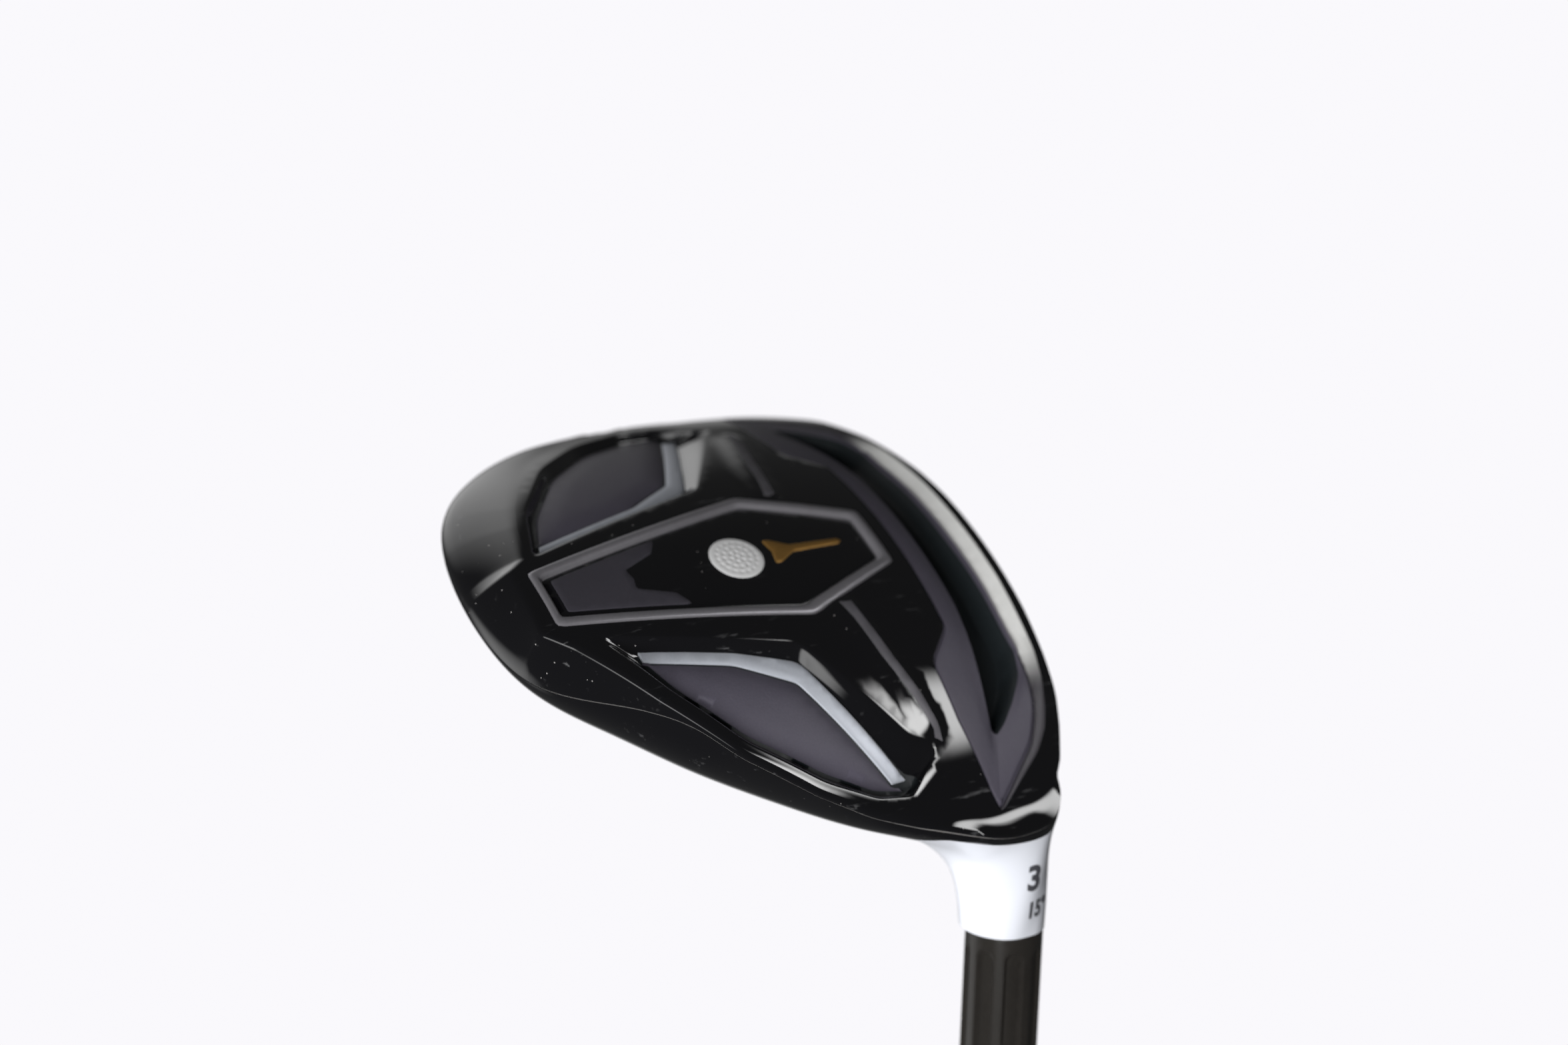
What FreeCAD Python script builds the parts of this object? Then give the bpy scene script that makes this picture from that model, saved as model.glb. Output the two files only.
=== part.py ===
"""Fairway wood: a complete right-handed golf club with a hollow steel head, posed at address.

Frame: +Z up, -Y towards the target (the face looks that way), +X towards the heel and the grip.
The origin is the point where the sole touches the ground.  Sizes are millimetres.
"""
import FreeCAD, Part
import math
import os

from FreeCAD import Rotation, Vector

# Name, value, meaning: the driving dimensions.
SIZES = [
    ("loft_angle", 15.0, "face loft, degrees"),
    ("lie_angle", 58.6, "shaft to ground, degrees"),
    ("sole_radius_across", 90.0, "toe-to-heel camber radius"),
    ("sole_radius_along", 413.0, "front-to-back camber radius"),
    ("crown_radius_across", 92.0, "crown toe-to-heel radius"),
    ("crown_radius_along", 135.0, "crown front-to-back radius"),
    ("crown_height", 37.5, "ground to crown apex"),
    ("crown_apex_back", 6.0, "apex behind the ground contact"),
    ("face_centre_height", 19.0, "height of the middle of the face"),
    ("face_radius", 305.0, "bulge and roll radius of the face"),
    ("leading_edge_front", 11.0, "leading edge ahead of the ground contact"),
    ("leading_edge_height", 2.0, "leading edge above ground at the centre"),
    ("face_thickness", 2.0, "face plate"),
    ("skirt_thickness", 1.1, "skirt wall"),
    ("sole_thickness", 1.1, "sole wall"),
    ("crown_thickness", 0.7, "crown wall"),
    ("seam_height", 11.0, "joint between head body and crown, at the back"),
    ("seam_radius", 280.0, "the joint rises towards heel and toe in this arc"),
    ("skirt_roll", 2.0, "radius between sole and skirt"),
    ("crown_roll", 1.0, "radius between crown and skirt"),
    ("pad_thickness", 0.8, "wing and front pads"),
    ("wing_depth", 2.4, "depth of the wing recesses to the pads"),
    ("stripe_proud", 0.1, "stripe above its pad"),
    ("slot_depth", 6.6, "open depth of the sole slot"),
    ("slot_filler_thickness", 1.2, "polymer strip on the slot floor"),
    ("bezel_front", 10.4, "front end of the badge bezel"),
    ("bezel_shoulder", 30.3, "widest place of the badge bezel"),
    ("bezel_back", 72.9, "back end of the badge bezel"),
    ("bezel_front_half", 6.5, "half width at the front end"),
    ("bezel_shoulder_half", 14.6, "half width at the shoulder"),
    ("bezel_back_half", 6.3, "half width at the back end"),
    ("bezel_width", 2.1, "width of the bezel's ridge"),
    ("bezel_proud", 0.12, "bezel below the sole surface"),
    ("plate_recess", 0.5, "badge plate above the bezel's foot"),
    ("plate_thickness", 1.0, "badge plate"),
    ("inlay_thickness", 0.3, "inlay and emblems on the plate"),
    ("adhesive_thickness", 0.2, "film under the badge"),
    ("ball_emblem_radius", 4.6, "plain ball emblem"),
    ("ball_emblem_back", 38.0, "centre of the ball emblem"),
    ("tee_point_back", 17.5, "point of the tee emblem"),
    ("tee_cup_back", 32.0, "cup of the tee emblem"),
    ("shaft_foot_heel", 33.53, "shaft axis meets the ground: towards the heel"),
    ("shaft_foot_back", 1.6, "shaft axis meets the ground: towards the back"),
    ("hosel_radius", 6.55, "outside of the hosel"),
    ("neck_foot", 24.5, "foot of the flared neck along the shaft axis"),
    ("neck_foot_radius", 13.0, "neck at its foot"),
    ("neck_waist", 34.0, "middle of the neck along the shaft axis"),
    ("neck_waist_radius", 8.7, "neck at its middle"),
    ("neck_top", 46.5, "rim of the neck along the shaft axis"),
    ("neck_rim_radius", 6.8, "neck at its rim"),
    ("neck_straight_reach", 7.2, "neck's straight face and heel sides from the shaft axis"),
    ("boss_root", 12.0, "lower end of the boss inside the head, along the shaft axis"),
    ("hosel_root", 23.0, "hosel's lower end inside the head, along the shaft axis"),
    ("hosel_top", 82.0, "hosel's rim along the shaft axis"),
    ("bore_depth", 40.0, "hosel bore"),
    ("plug_length", 4.0, "plug under the bore that stops the epoxy"),
    ("plug_play", 0.5, "plug radius less than the shaft tip's"),
    ("flute_start", 48.0, "lower end of the flutes"),
    ("flute_end", 78.0, "upper end of the flutes"),
    ("flute_width", 3.4, "width of a flute"),
    ("flute_depth", 0.6, "depth of a flute"),
    ("tip_radius", 4.25, "shaft tip, 0.335 inch"),
    ("butt_radius", 7.62, "shaft butt, 0.600 inch"),
    ("tip_length", 100.0, "parallel tip section"),
    ("butt_length", 300.0, "parallel butt section"),
    ("shaft_wall", 1.2, "graphite wall"),
    ("glue_pool_radius", 9.0, "hot melt pool on the sole inside the head"),
    ("glue_pool_level", 10.0, "top of the pool above the ground"),
    ("glue_pool_toe", 30.0, "pool centre towards the toe"),
    ("glue_pool_back", 13.0, "pool centre towards the back"),
    ("glue_gap", 0.1, "epoxy film between shaft and hosel"),
    ("tip_weight_length", 22.0, "plug in the shaft tip"),
    ("ferrule_length", 25.0, "ferrule"),
    ("ferrule_band", 6.0, "nearly straight lower part of the ferrule"),
    ("ferrule_draft", 0.25, "ferrule's radius lost over that band"),
    ("ferrule_lip", 0.35, "ferrule's thickness at its upper end"),
    ("club_length", 1098.5, "ground to grip cap along the shaft, 43.25 inch"),
    ("grip_length", 267.0, "grip with its cap, 10.5 inch"),
    ("grip_mouth_radius", 8.9, "grip at its mouth"),
    ("grip_butt_radius", 13.4, "grip below the cap"),
    ("cap_radius", 14.6, "grip cap"),
    ("cap_thickness", 4.0, "grip cap"),
    ("vent_radius", 1.6, "vent hole in the cap"),
    ("cap_edge", 1.2, "chamfer of the cap"),
    ("cap_overhang", 0.4, "cap radius beyond the grip's end"),
    ("grip_shoulder", 8.0, "grip's flare under the cap"),
    ("grip_lip", 0.6, "chamfer across the grip's mouth"),
    ("grip_lip_length", 1.0, "chamfer along the grip's mouth"),
    ("tape_inset", 4.0, "tape starts inside the grip's mouth"),
    ("tape_thickness", 0.15, "grip tape"),
]
FLUTES = 8
BARREL_REACH = 110.0    # half length of the sole and crown surfaces
PRISM_FOOT = 5.0        # upright prisms start this far below the ground
PRISM_HEIGHT = 45.0
NECK_BLOCK = 80.0       # edge of the block that trims the neck
CAVITY_MARGIN = 0.6     # extra skirt wall at the cavity's corners

# Head planform seen from above, from the toe side of the face round the back to the heel.
PLANFORM = [(-46, -12), (-52.8, 4), (-55, 20), (-53.8, 36), (-49.8, 51), (-42.5, 65), (-32, 75.5),
            (-19.5, 79.6), (-6, 80), (6.5, 76.6), (17.5, 67.3), (29, 56.3), (40, 43), (47.5, 32.5),
            (51.8, 23.5), (54, 12), (53, 0), (49, -11)]

HEAD_MIDDLE = (0.0, 28.0)

# Outlines on the sole, seen from above, in order.  Heel side; the toe side has its own outer edge.
WING_INNER = [(15.9, 46.3), (18.6, 36.0), (36.5, 22.6)]
HEEL_WING_OUTER = [(40.0, 17.6), (46.2, 25.0), (45.4, 31.5), (41.5, 40.0), (33.0, 51.3), (22.0, 60.5),
                   (9.2, 69.0)]
TOE_WING_OUTER = [(-42.0, 17.5), (-48.0, 26.0), (-48.6, 33.0), (-45.0, 44.0), (-36.0, 56.0),
                  (-22.0, 66.3), (-9.0, 70.8)]
STRIPE_OUTER = [(14.0, 56.8), (19.7, 37.5), (21.2, 35.7), (31.5, 30.1), (42.5, 24.6)]
STRIPE_INNER = [(42.5, 27.2), (27.7, 34.8), (24.3, 37.1), (18.4, 51.6)]
HEEL_STRIPE_END = [(14.9, 61.3), (12.7, 62.0)]
TOE_STRIPE_END = [(13.6, 67.0), (11.2, 67.8)]
HEEL_PAD_OUTER = [(42.1, 30.6), (35.4, 41.7), (22.5, 55.7), (15.4, 61.0)]
TOE_PAD_OUTER = [(46.0, 30.0), (45.2, 38.5), (38.5, 50.0), (30.5, 58.5), (14.0, 66.8)]
FRONT_PAD_HALF = [(20.5, 7.5), (26.0, 12.8), (36.7, 12.6), (50.2, 9.3), (42.5, -1.8), (34.8, -5.7),
                  (26.0, -6.9)]
SLOT_HALF = [(25.0, 2.5), (38.3, 5.6), (39.5, 5.0), (38.7, 3.2), (32.2, -3.1), (24.1, -6.7),
             (20.0, -7.2)]
INLAY_HALF = [(3.8, 69.8), (7.6, 50.0), (4.7, 51.5), (2.0, 57.7)]

doc = FreeCAD.newDocument("FairwayWood")
sheet = doc.addObject("Spreadsheet::Sheet", "Sizes")
for row, (alias, value, note) in enumerate(SIZES, start=1):
    sheet.set("A%d" % row, alias)
    sheet.set("B%d" % row, str(value))
    sheet.set("C%d" % row, note)
    sheet.setAlias("B%d" % row, alias)
doc.recompute()


def size(alias):
    """A driving dimension from the sheet."""
    return float(sheet.get(alias))


def bind(thing, prop, formula):
    """Tie a property to the sheet; names in braces are aliases."""
    thing.setExpression(prop, formula.replace("{", "Sizes.").replace("}", ""))


# ---------------------------------------------------------------- general builders

def sketch_on(body, role, name, lift_formula="0"):
    """A sketch on one of the body's own origin planes, lifted along the plane's normal."""
    plane = [item for item in body.Origin.OriginFeatures if item.Role == role][0]
    sketch = body.newObject("Sketcher::SketchObject", name)
    sketch.AttachmentSupport = [(plane, "")]
    sketch.MapMode = "FlatFace"
    bind(sketch, ".AttachmentOffset.Base.z", lift_formula)
    return sketch


def polyline(points):
    """Closed run of straight edges through the points."""
    corners = [Vector(x, y, 0) for x, y in points]
    return [Part.LineSegment(a, b) for a, b in zip(corners, corners[1:] + corners[:1])]


def smooth_loop(points):
    """Closed smooth curve through the points."""
    curve = Part.BSplineCurve()
    curve.interpolate(Points=[Vector(x, y, 0) for x, y in points], PeriodicFlag=True)
    return [curve]


def prism(name, edges):
    """Upright prism over an outline in the ground plane, from below the sole upwards."""
    body = doc.addObject("PartDesign::Body", name)
    sketch = sketch_on(body, "XY_Plane", name + "_outline", "-%g" % PRISM_FOOT)
    sketch.addGeometry(edges, False)
    pad = body.newObject("PartDesign::Pad", name + "_pad")
    pad.Profile = sketch
    pad.Length = PRISM_HEIGHT
    return body


def barrel(name, across, along, axis_back, axis_height, upward):
    """Solid of revolution about an axis along Y that bulges by a second radius along Y.

    across and along are aliases of the two radii; axis_back and axis_height are sheet formulas.
    """
    body = doc.addObject("PartDesign::Body", name)
    sketch = sketch_on(body, "YZ_Plane", name + "_profile")
    side = 1 if upward else -1
    centre = Vector(0, side * (size(across) - size(along)), 0)
    circle = Part.Circle(centre, Vector(0, 0, 1), size(along))
    half_angle = math.asin(BARREL_REACH / size(along))
    middle = side * math.pi / 2
    arc = Part.ArcOfCircle(circle, middle - half_angle, middle + half_angle)
    first, last = arc.StartPoint, arc.EndPoint
    first_foot, last_foot = Vector(first.x, 0, 0), Vector(last.x, 0, 0)
    sketch.addGeometry([arc, Part.LineSegment(last, last_foot), Part.LineSegment(last_foot, first_foot),
                        Part.LineSegment(first_foot, first)], False)
    bind(sketch, ".AttachmentOffset.Base.x", axis_back)
    bind(sketch, ".AttachmentOffset.Base.y", axis_height)
    turn = body.newObject("PartDesign::Revolution", name + "_turn")
    turn.Profile = sketch
    turn.ReferenceAxis = (sketch, ["H_Axis"])
    turn.Angle = 360.0
    return body


def sole_form(name, lift):
    """Everything above the sole surface raised by a sheet formula."""
    return barrel(name, "sole_radius_across", "sole_radius_along", "0",
                  "{sole_radius_across} + " + lift, False)


def crown_form(name, drop):
    """Everything below the crown surface lowered by a sheet formula."""
    return barrel(name, "crown_radius_across", "crown_radius_along", "{crown_apex_back}",
                  "{crown_height} - {crown_radius_across} - " + drop, True)


def cut(name, base, tool):
    result = doc.addObject("Part::Cut", name)
    result.Base, result.Tool = base, tool
    return result


def common(name, *shapes):
    result = doc.addObject("Part::MultiCommon", name)
    result.Shapes = list(shapes)
    return result


def fuse(name, *shapes):
    result = doc.addObject("Part::MultiFuse", name)
    result.Shapes = list(shapes)
    return result


def layer(name, outline, low, high):
    """The slice of an upright prism between two lifted sole surfaces."""
    return cut(name, common(name + "_above", outline, low), high)


def mirrored(points):
    return [(-x, y) for x, y in points]


def both_sides(half):
    """A half outline, running from front or back on the heel side, closed by its mirror image."""
    return half + mirrored(half)[::-1]


def shrunk(points, inset, centre):
    """Outline points moved inwards, towards a centre, by a distance."""
    moved = []
    for x, y in points:
        dx, dy = x - centre[0], y - centre[1]
        keep = 1.0 - inset / math.hypot(dx, dy)
        moved.append((centre[0] + dx * keep, centre[1] + dy * keep))
    return moved


# ---------------------------------------------------------------- shaft line

LEAN = Rotation(Vector(0, 1, 0), 90.0 - size("lie_angle"))


def on_shaft_line(thing, distance="0"):
    """Stand a piece, drawn along +Z from its own origin, on the shaft axis."""
    lean = "(90 - {lie_angle})"
    bind(thing, ".Placement.Base.x", "{shaft_foot_heel} + sin%s * (%s)" % (lean, distance))
    bind(thing, ".Placement.Base.y", "{shaft_foot_back}")
    bind(thing, ".Placement.Base.z", "cos%s * (%s)" % (lean, distance))
    thing.Placement.Rotation = LEAN
    return thing


def rod(name, radius, length, distance):
    """Plain cylinder on the shaft line; all three sizes are sheet formulas."""
    cylinder = doc.addObject("Part::Cylinder", name)
    bind(cylinder, "Radius", radius)
    bind(cylinder, "Height", length)
    return on_shaft_line(cylinder, distance)


def turned(name, profile):
    """Piece turned about the shaft line from (radius, distance along the axis) corners."""
    body = doc.addObject("PartDesign::Body", name)
    sketch = sketch_on(body, "XZ_Plane", name + "_profile")
    sketch.addGeometry(polyline(profile), False)
    turn = body.newObject("PartDesign::Revolution", name + "_turn")
    turn.Profile = sketch
    turn.ReferenceAxis = (sketch, ["V_Axis"])
    turn.Angle = 360.0
    return on_shaft_line(body)


# ---------------------------------------------------------------- head blanks

def face_sphere(name, inset):
    """Everything behind the face surface moved back by a sheet formula."""
    ball = doc.addObject("Part::Sphere", name)
    bind(ball, "Radius", "{face_radius} - " + inset)
    bind(ball, ".Placement.Base.y", "({face_centre_height} - {leading_edge_height}) * tan({loft_angle})"
         " - {leading_edge_front} + {face_radius} * cos({loft_angle})")
    bind(ball, ".Placement.Base.z", "{face_centre_height} - {face_radius} * sin({loft_angle})")
    return ball


def head_blank(name, inset, sole_lift, crown_drop, face_inset):
    """Solid head: between sole and crown, inside the planform and behind the face."""
    outline = prism(name + "_planform", smooth_loop(shrunk(PLANFORM, inset, HEAD_MIDDLE)))
    return common(name, outline, sole_form(name + "_sole", sole_lift),
                  crown_form(name + "_crown", crown_drop), face_sphere(name + "_face", face_inset))


def skirt_edges(shape, at_crown):
    """Numbers of the long edges where the skirt meets the crown or the sole."""
    found = []
    for number, edge in enumerate(shape.Edges, start=1):
        box = edge.BoundBox
        bends_round_head = box.YMax > size("bezel_back") and box.XLength > size("crown_height")
        if bends_round_head and at_crown == (box.ZMin > size("seam_height")):
            found.append(number)
    return found


def rolled(name, base, at_crown, radius_alias):
    """Round the skirt's edge at the crown or at the sole."""
    doc.recompute()
    fillet = doc.addObject("Part::Fillet", name)
    fillet.Base = base
    radius = size(radius_alias)
    fillet.Edges = [(number, radius, radius) for number in skirt_edges(base.Shape, at_crown)]
    return fillet


sharp_blank = head_blank("sharp_head", 0.0, "0", "0", "0")
sole_rolled = rolled("sole_rolled", sharp_blank, False, "skirt_roll")
blank = rolled("head_blank", sole_rolled, True, "crown_roll")
cavity_blank = head_blank("cavity_blank", size("skirt_thickness") + CAVITY_MARGIN, "{sole_thickness}",
                          "{crown_thickness}", "{face_thickness}")
behind_face = face_sphere("behind_face", "{face_thickness}")

# Everything above the joint: a large cylinder lying front to back.
above_seam = doc.addObject("Part::Cylinder", "above_seam")
above_seam.Height = 2 * BARREL_REACH
above_seam.Placement.Rotation = Rotation(Vector(1, 0, 0), -90)
bind(above_seam, "Radius", "{seam_radius}")
bind(above_seam, ".Placement.Base.z", "{seam_height} + {seam_radius}")
above_seam.Placement.Base.y = -BARREL_REACH

# ---------------------------------------------------------------- neck and hosel

def neck_trumpet():
    """Flared neck about the shaft line, narrowing in a hollow curve up to its rim."""
    body = doc.addObject("PartDesign::Body", "neck_trumpet")
    sketch = sketch_on(body, "XZ_Plane", "neck_profile")
    foot = Vector(size("neck_foot_radius"), size("neck_foot"), 0)
    waist = Vector(size("neck_waist_radius"), size("neck_waist"), 0)
    rim = Vector(size("neck_rim_radius"), size("neck_top"), 0)
    axis_foot, axis_rim = Vector(0, foot.y, 0), Vector(0, rim.y, 0)
    sketch.addGeometry([Part.Arc(foot, waist, rim), Part.LineSegment(rim, axis_rim),
                        Part.LineSegment(axis_rim, axis_foot), Part.LineSegment(axis_foot, foot)], False)
    turn = body.newObject("PartDesign::Revolution", "neck_turn")
    turn.Profile = sketch
    turn.ReferenceAxis = (sketch, ["V_Axis"])
    turn.Angle = 360.0
    return on_shaft_line(body)


# The neck flares towards the crown only: its face side and heel side stay straight.
neck_sector = doc.addObject("Part::Box", "neck_sector")
neck_sector.Length, neck_sector.Width, neck_sector.Height = NECK_BLOCK, NECK_BLOCK, 1.5 * NECK_BLOCK
on_shaft_line(neck_sector)
reach, lean = "{neck_straight_reach}", "(90 - {lie_angle})"
bind(neck_sector, ".Placement.Base.x",
     "{shaft_foot_heel} + (%s - %g) * cos%s" % (reach, NECK_BLOCK, lean))
bind(neck_sector, ".Placement.Base.y", "{shaft_foot_back} - %s" % reach)
bind(neck_sector, ".Placement.Base.z", "(%g - %s) * sin%s" % (NECK_BLOCK, reach, lean))
neck = common("neck", neck_trumpet(), neck_sector)
hosel_bar = rod("hosel_bar", "{hosel_radius}", "{hosel_top} - {hosel_root}", "{hosel_root}")

flute_cutter = doc.addObject("PartDesign::Body", "flute_cutter")
flute_sketch = sketch_on(flute_cutter, "YZ_Plane", "flute_outline", "{hosel_radius} - {flute_depth}")
half = size("flute_width") / 2
low, high = size("flute_start") + half, size("flute_end") - half
flute_sketch.addGeometry([
    Part.ArcOfCircle(Part.Circle(Vector(0, low, 0), Vector(0, 0, 1), half), math.pi, 2 * math.pi),
    Part.LineSegment(Vector(half, low, 0), Vector(half, high, 0)),
    Part.ArcOfCircle(Part.Circle(Vector(0, high, 0), Vector(0, 0, 1), half), 0, math.pi),
    Part.LineSegment(Vector(-half, high, 0), Vector(-half, low, 0))], False)
flute_pad = flute_cutter.newObject("PartDesign::Pad", "flute_pad")
flute_pad.Profile = flute_sketch
bind(flute_pad, "Length", "2 * {flute_depth}")
flute_ring = flute_cutter.newObject("PartDesign::PolarPattern", "flute_ring")
flute_ring.Originals = [flute_pad]
flute_ring.Axis = ([item for item in flute_cutter.Origin.OriginFeatures if item.Role == "Z_Axis"][0], [""])
flute_ring.Occurrences = FLUTES
flute_ring.Angle = 360.0
flute_cutter.Tip = flute_ring
on_shaft_line(flute_cutter)

bore_top = "{hosel_top} - {bore_depth}"
bore = rod("hosel_bore", "{tip_radius} + {glue_gap}", "{bore_depth} + {plug_length}", bore_top)
plug_seat = rod("plug_seat", "{tip_radius} - {plug_play}", "2 * {plug_length}",
                bore_top + " - {plug_length}")
boss = common("hosel_boss", cavity_blank,
              rod("boss_rod", "{hosel_radius} - {flute_depth}", "{hosel_top} - {boss_root}", "{boss_root}"))

# ---------------------------------------------------------------- sole surfaces and outlines

SOLE = sole_form("sole_surface", "0")
PAD_TOP = sole_form("front_pad_top", "{pad_thickness}")
WING_FLOOR = sole_form("wing_floor", "{wing_depth}")
STRIPE_FOOT = sole_form("stripe_foot", "{wing_depth} - {stripe_proud}")
WING_TOP = sole_form("wing_top", "{wing_depth} + {pad_thickness}")
WING_INSIDE = sole_form("wing_inside", "{wing_depth} + {pad_thickness} + {sole_thickness}")
SLOT_FLOOR = sole_form("slot_floor", "{slot_depth} - {slot_filler_thickness}")
SLOT_TOP = sole_form("slot_top", "{slot_depth}")
SLOT_INSIDE = sole_form("slot_inside", "{slot_depth} + {sole_thickness}")
BEZEL_FOOT = sole_form("bezel_foot", "-{bezel_proud}")
INLAY_FOOT = sole_form("inlay_foot", "{plate_recess} - {inlay_thickness}")
PLATE_FOOT = sole_form("plate_foot", "{plate_recess}")
PLATE_TOP = sole_form("plate_top", "{plate_recess} + {plate_thickness}")
BADGE_TOP = sole_form("badge_top", "{plate_recess} + {plate_thickness} + {adhesive_thickness}")
BADGE_INSIDE = sole_form("badge_inside",
                         "{plate_recess} + {plate_thickness} + {adhesive_thickness} + {sole_thickness}")

bezel_outer = both_sides([(size("bezel_front_half"), size("bezel_front")),
                          (size("bezel_shoulder_half"), size("bezel_shoulder")),
                          (size("bezel_back_half"), size("bezel_back"))])
ridge = size("bezel_width")
bezel_inner = both_sides([(size("bezel_front_half") - 0.75 * ridge, size("bezel_front") + ridge),
                          (size("bezel_shoulder_half") - 1.15 * ridge, size("bezel_shoulder") + 0.4 * ridge),
                          (size("bezel_back_half") - ridge, size("bezel_back") - ridge)])
heel_wing = WING_INNER + HEEL_WING_OUTER
toe_wing = mirrored(WING_INNER) + TOE_WING_OUTER
heel_stripe_line = STRIPE_OUTER + STRIPE_INNER + HEEL_STRIPE_END
toe_stripe_line = mirrored(STRIPE_OUTER + STRIPE_INNER + TOE_STRIPE_END)
heel_pad_line = STRIPE_INNER + HEEL_STRIPE_END[:1] + HEEL_PAD_OUTER[::-1]
toe_pad_line = mirrored(STRIPE_INNER + TOE_STRIPE_END[:1] + TOE_PAD_OUTER[::-1])

badge_prism = prism("badge_outline", polyline(bezel_outer))
plate_prism = prism("plate_outline", polyline(bezel_inner))
heel_wing_prism = prism("heel_wing_outline", polyline(heel_wing))
toe_wing_prism = prism("toe_wing_outline", polyline(toe_wing))
front_pad_prism = prism("front_pad_outline", polyline(both_sides(FRONT_PAD_HALF)))
slot_prism = prism("slot_outline", polyline(both_sides(SLOT_HALF)))

# ---------------------------------------------------------------- head castings


def grown_prism(name, points):
    """Prism over an outline moved outwards by the sole's wall."""
    middle = tuple(sum(values) / len(points) for values in zip(*points))
    return prism(name, polyline(shrunk(points, -size("sole_thickness"), middle)))


slot_block = cut("slot_block", grown_prism("slot_wall", both_sides(SLOT_HALF)), SLOT_INSIDE)
heel_block = cut("heel_block", grown_prism("heel_wall", heel_wing), WING_INSIDE)
toe_block = cut("toe_block", grown_prism("toe_wall", toe_wing), WING_INSIDE)
badge_block = cut("badge_block", grown_prism("badge_wall", bezel_outer), BADGE_INSIDE)
cavity = cut("cavity", cavity_blank,
             fuse("walls", slot_block, heel_block, toe_block, badge_block, boss))

casting_blank = common("casting_blank", blank, behind_face)
lower_half = cut("lower_half", casting_blank, above_seam)
neck_outside = fuse("neck_outside", neck, hosel_bar)
casting_outside = fuse("casting_outside", lower_half, neck_outside, boss)
pockets = fuse("pockets",
               cut("slot_pocket", slot_prism, SLOT_TOP),
               cut("front_pad_pocket", front_pad_prism, PAD_TOP),
               cut("heel_pocket", heel_wing_prism, WING_TOP),
               cut("toe_pocket", toe_wing_prism, WING_TOP),
               cut("badge_pocket", badge_prism, BADGE_TOP))
hollows = fuse("hollows", cavity, pockets, bore, plug_seat, flute_cutter)
head_body = cut("head_body", casting_outside, hollows)
upper_half = common("upper_half", casting_blank, above_seam)
crown = cut("crown", upper_half, fuse("crown_hollow", cavity_blank, neck_outside))
face_plate = cut("face_plate", cut("face_slab", blank, behind_face), neck_outside)

# ---------------------------------------------------------------- pieces set into the sole

front_pad = cut("front_pad", layer("front_pad_layer", front_pad_prism, SOLE, PAD_TOP), slot_prism)
slot_filler = layer("slot_filler", slot_prism, SLOT_FLOOR, SLOT_TOP)
badge_bezel = cut("badge_bezel", layer("bezel_layer", badge_prism, BEZEL_FOOT, PLATE_TOP), plate_prism)
badge_plate = layer("badge_plate", plate_prism, PLATE_FOOT, PLATE_TOP)
badge_adhesive = layer("badge_adhesive", badge_prism, PLATE_TOP, BADGE_TOP)
badge_inlay = layer("badge_inlay", prism("inlay_outline", polyline(both_sides(INLAY_HALF))),
                    INLAY_FOOT, PLATE_FOOT)

ball_disc = doc.addObject("Part::Cylinder", "ball_disc")
bind(ball_disc, "Radius", "{ball_emblem_radius}")
ball_disc.Height = 20
bind(ball_disc, ".Placement.Base.y", "{ball_emblem_back}")
ball_disc.Placement.Base.z = -5
emblem_ball = layer("emblem_ball", ball_disc, INLAY_FOOT, PLATE_FOOT)
tee_outline = both_sides([(0.55, size("tee_point_back")), (0.75, size("tee_cup_back") - 3.6),
                          (2.6, size("tee_cup_back") - 0.9), (2.6, size("tee_cup_back"))])
emblem_tee = layer("emblem_tee", prism("tee_outline", polyline(tee_outline)), INLAY_FOOT, PLATE_FOOT)

heel_pad = layer("heel_pad", prism("heel_pad_outline", polyline(heel_pad_line)), WING_FLOOR, WING_TOP)
toe_pad = layer("toe_pad", prism("toe_pad_outline", polyline(toe_pad_line)), WING_FLOOR, WING_TOP)
heel_stripe = layer("heel_stripe", prism("heel_stripe_outline", polyline(heel_stripe_line)),
                    STRIPE_FOOT, WING_TOP)
toe_stripe = layer("toe_stripe", prism("toe_stripe_outline", polyline(toe_stripe_line)),
                   STRIPE_FOOT, WING_TOP)

glue_pool = doc.addObject("Part::Cylinder", "glue_pool")
bind(glue_pool, "Radius", "{glue_pool_radius}")
bind(glue_pool, "Height", "{glue_pool_level}")
bind(glue_pool, ".Placement.Base.x", "-{glue_pool_toe}")
bind(glue_pool, ".Placement.Base.y", "{glue_pool_back}")
hot_melt_glue = common("hot_melt_glue", cavity, glue_pool)

# ---------------------------------------------------------------- shaft, ferrule and grip

tip_start = size("hosel_top") - size("bore_depth")
club_end = size("club_length")
butt_end = club_end - size("cap_thickness")
grip_start = club_end - size("grip_length")
taper_start = tip_start + size("tip_length")
taper_end = butt_end - size("butt_length")
tip, butt, wall = size("tip_radius"), size("butt_radius"), size("shaft_wall")

shaft = turned("shaft", [(tip, tip_start), (tip, taper_start), (butt, taper_end), (butt, butt_end),
                         (butt - wall, butt_end), (butt - wall, taper_end),
                         (tip - wall, taper_start), (tip - wall, tip_start)])
tip_weight = rod("tip_weight", "{tip_radius} - {shaft_wall}", "{tip_weight_length}", bore_top)
hosel_plug = rod("hosel_plug", "{tip_radius} - {plug_play}", "{plug_length}",
                 bore_top + " - {plug_length}")
epoxy_bond = cut("epoxy_bond", rod("epoxy_outside", "{tip_radius} + {glue_gap}", "{bore_depth}", bore_top),
                 rod("epoxy_inside", "{tip_radius}", "{bore_depth}", bore_top))

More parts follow.
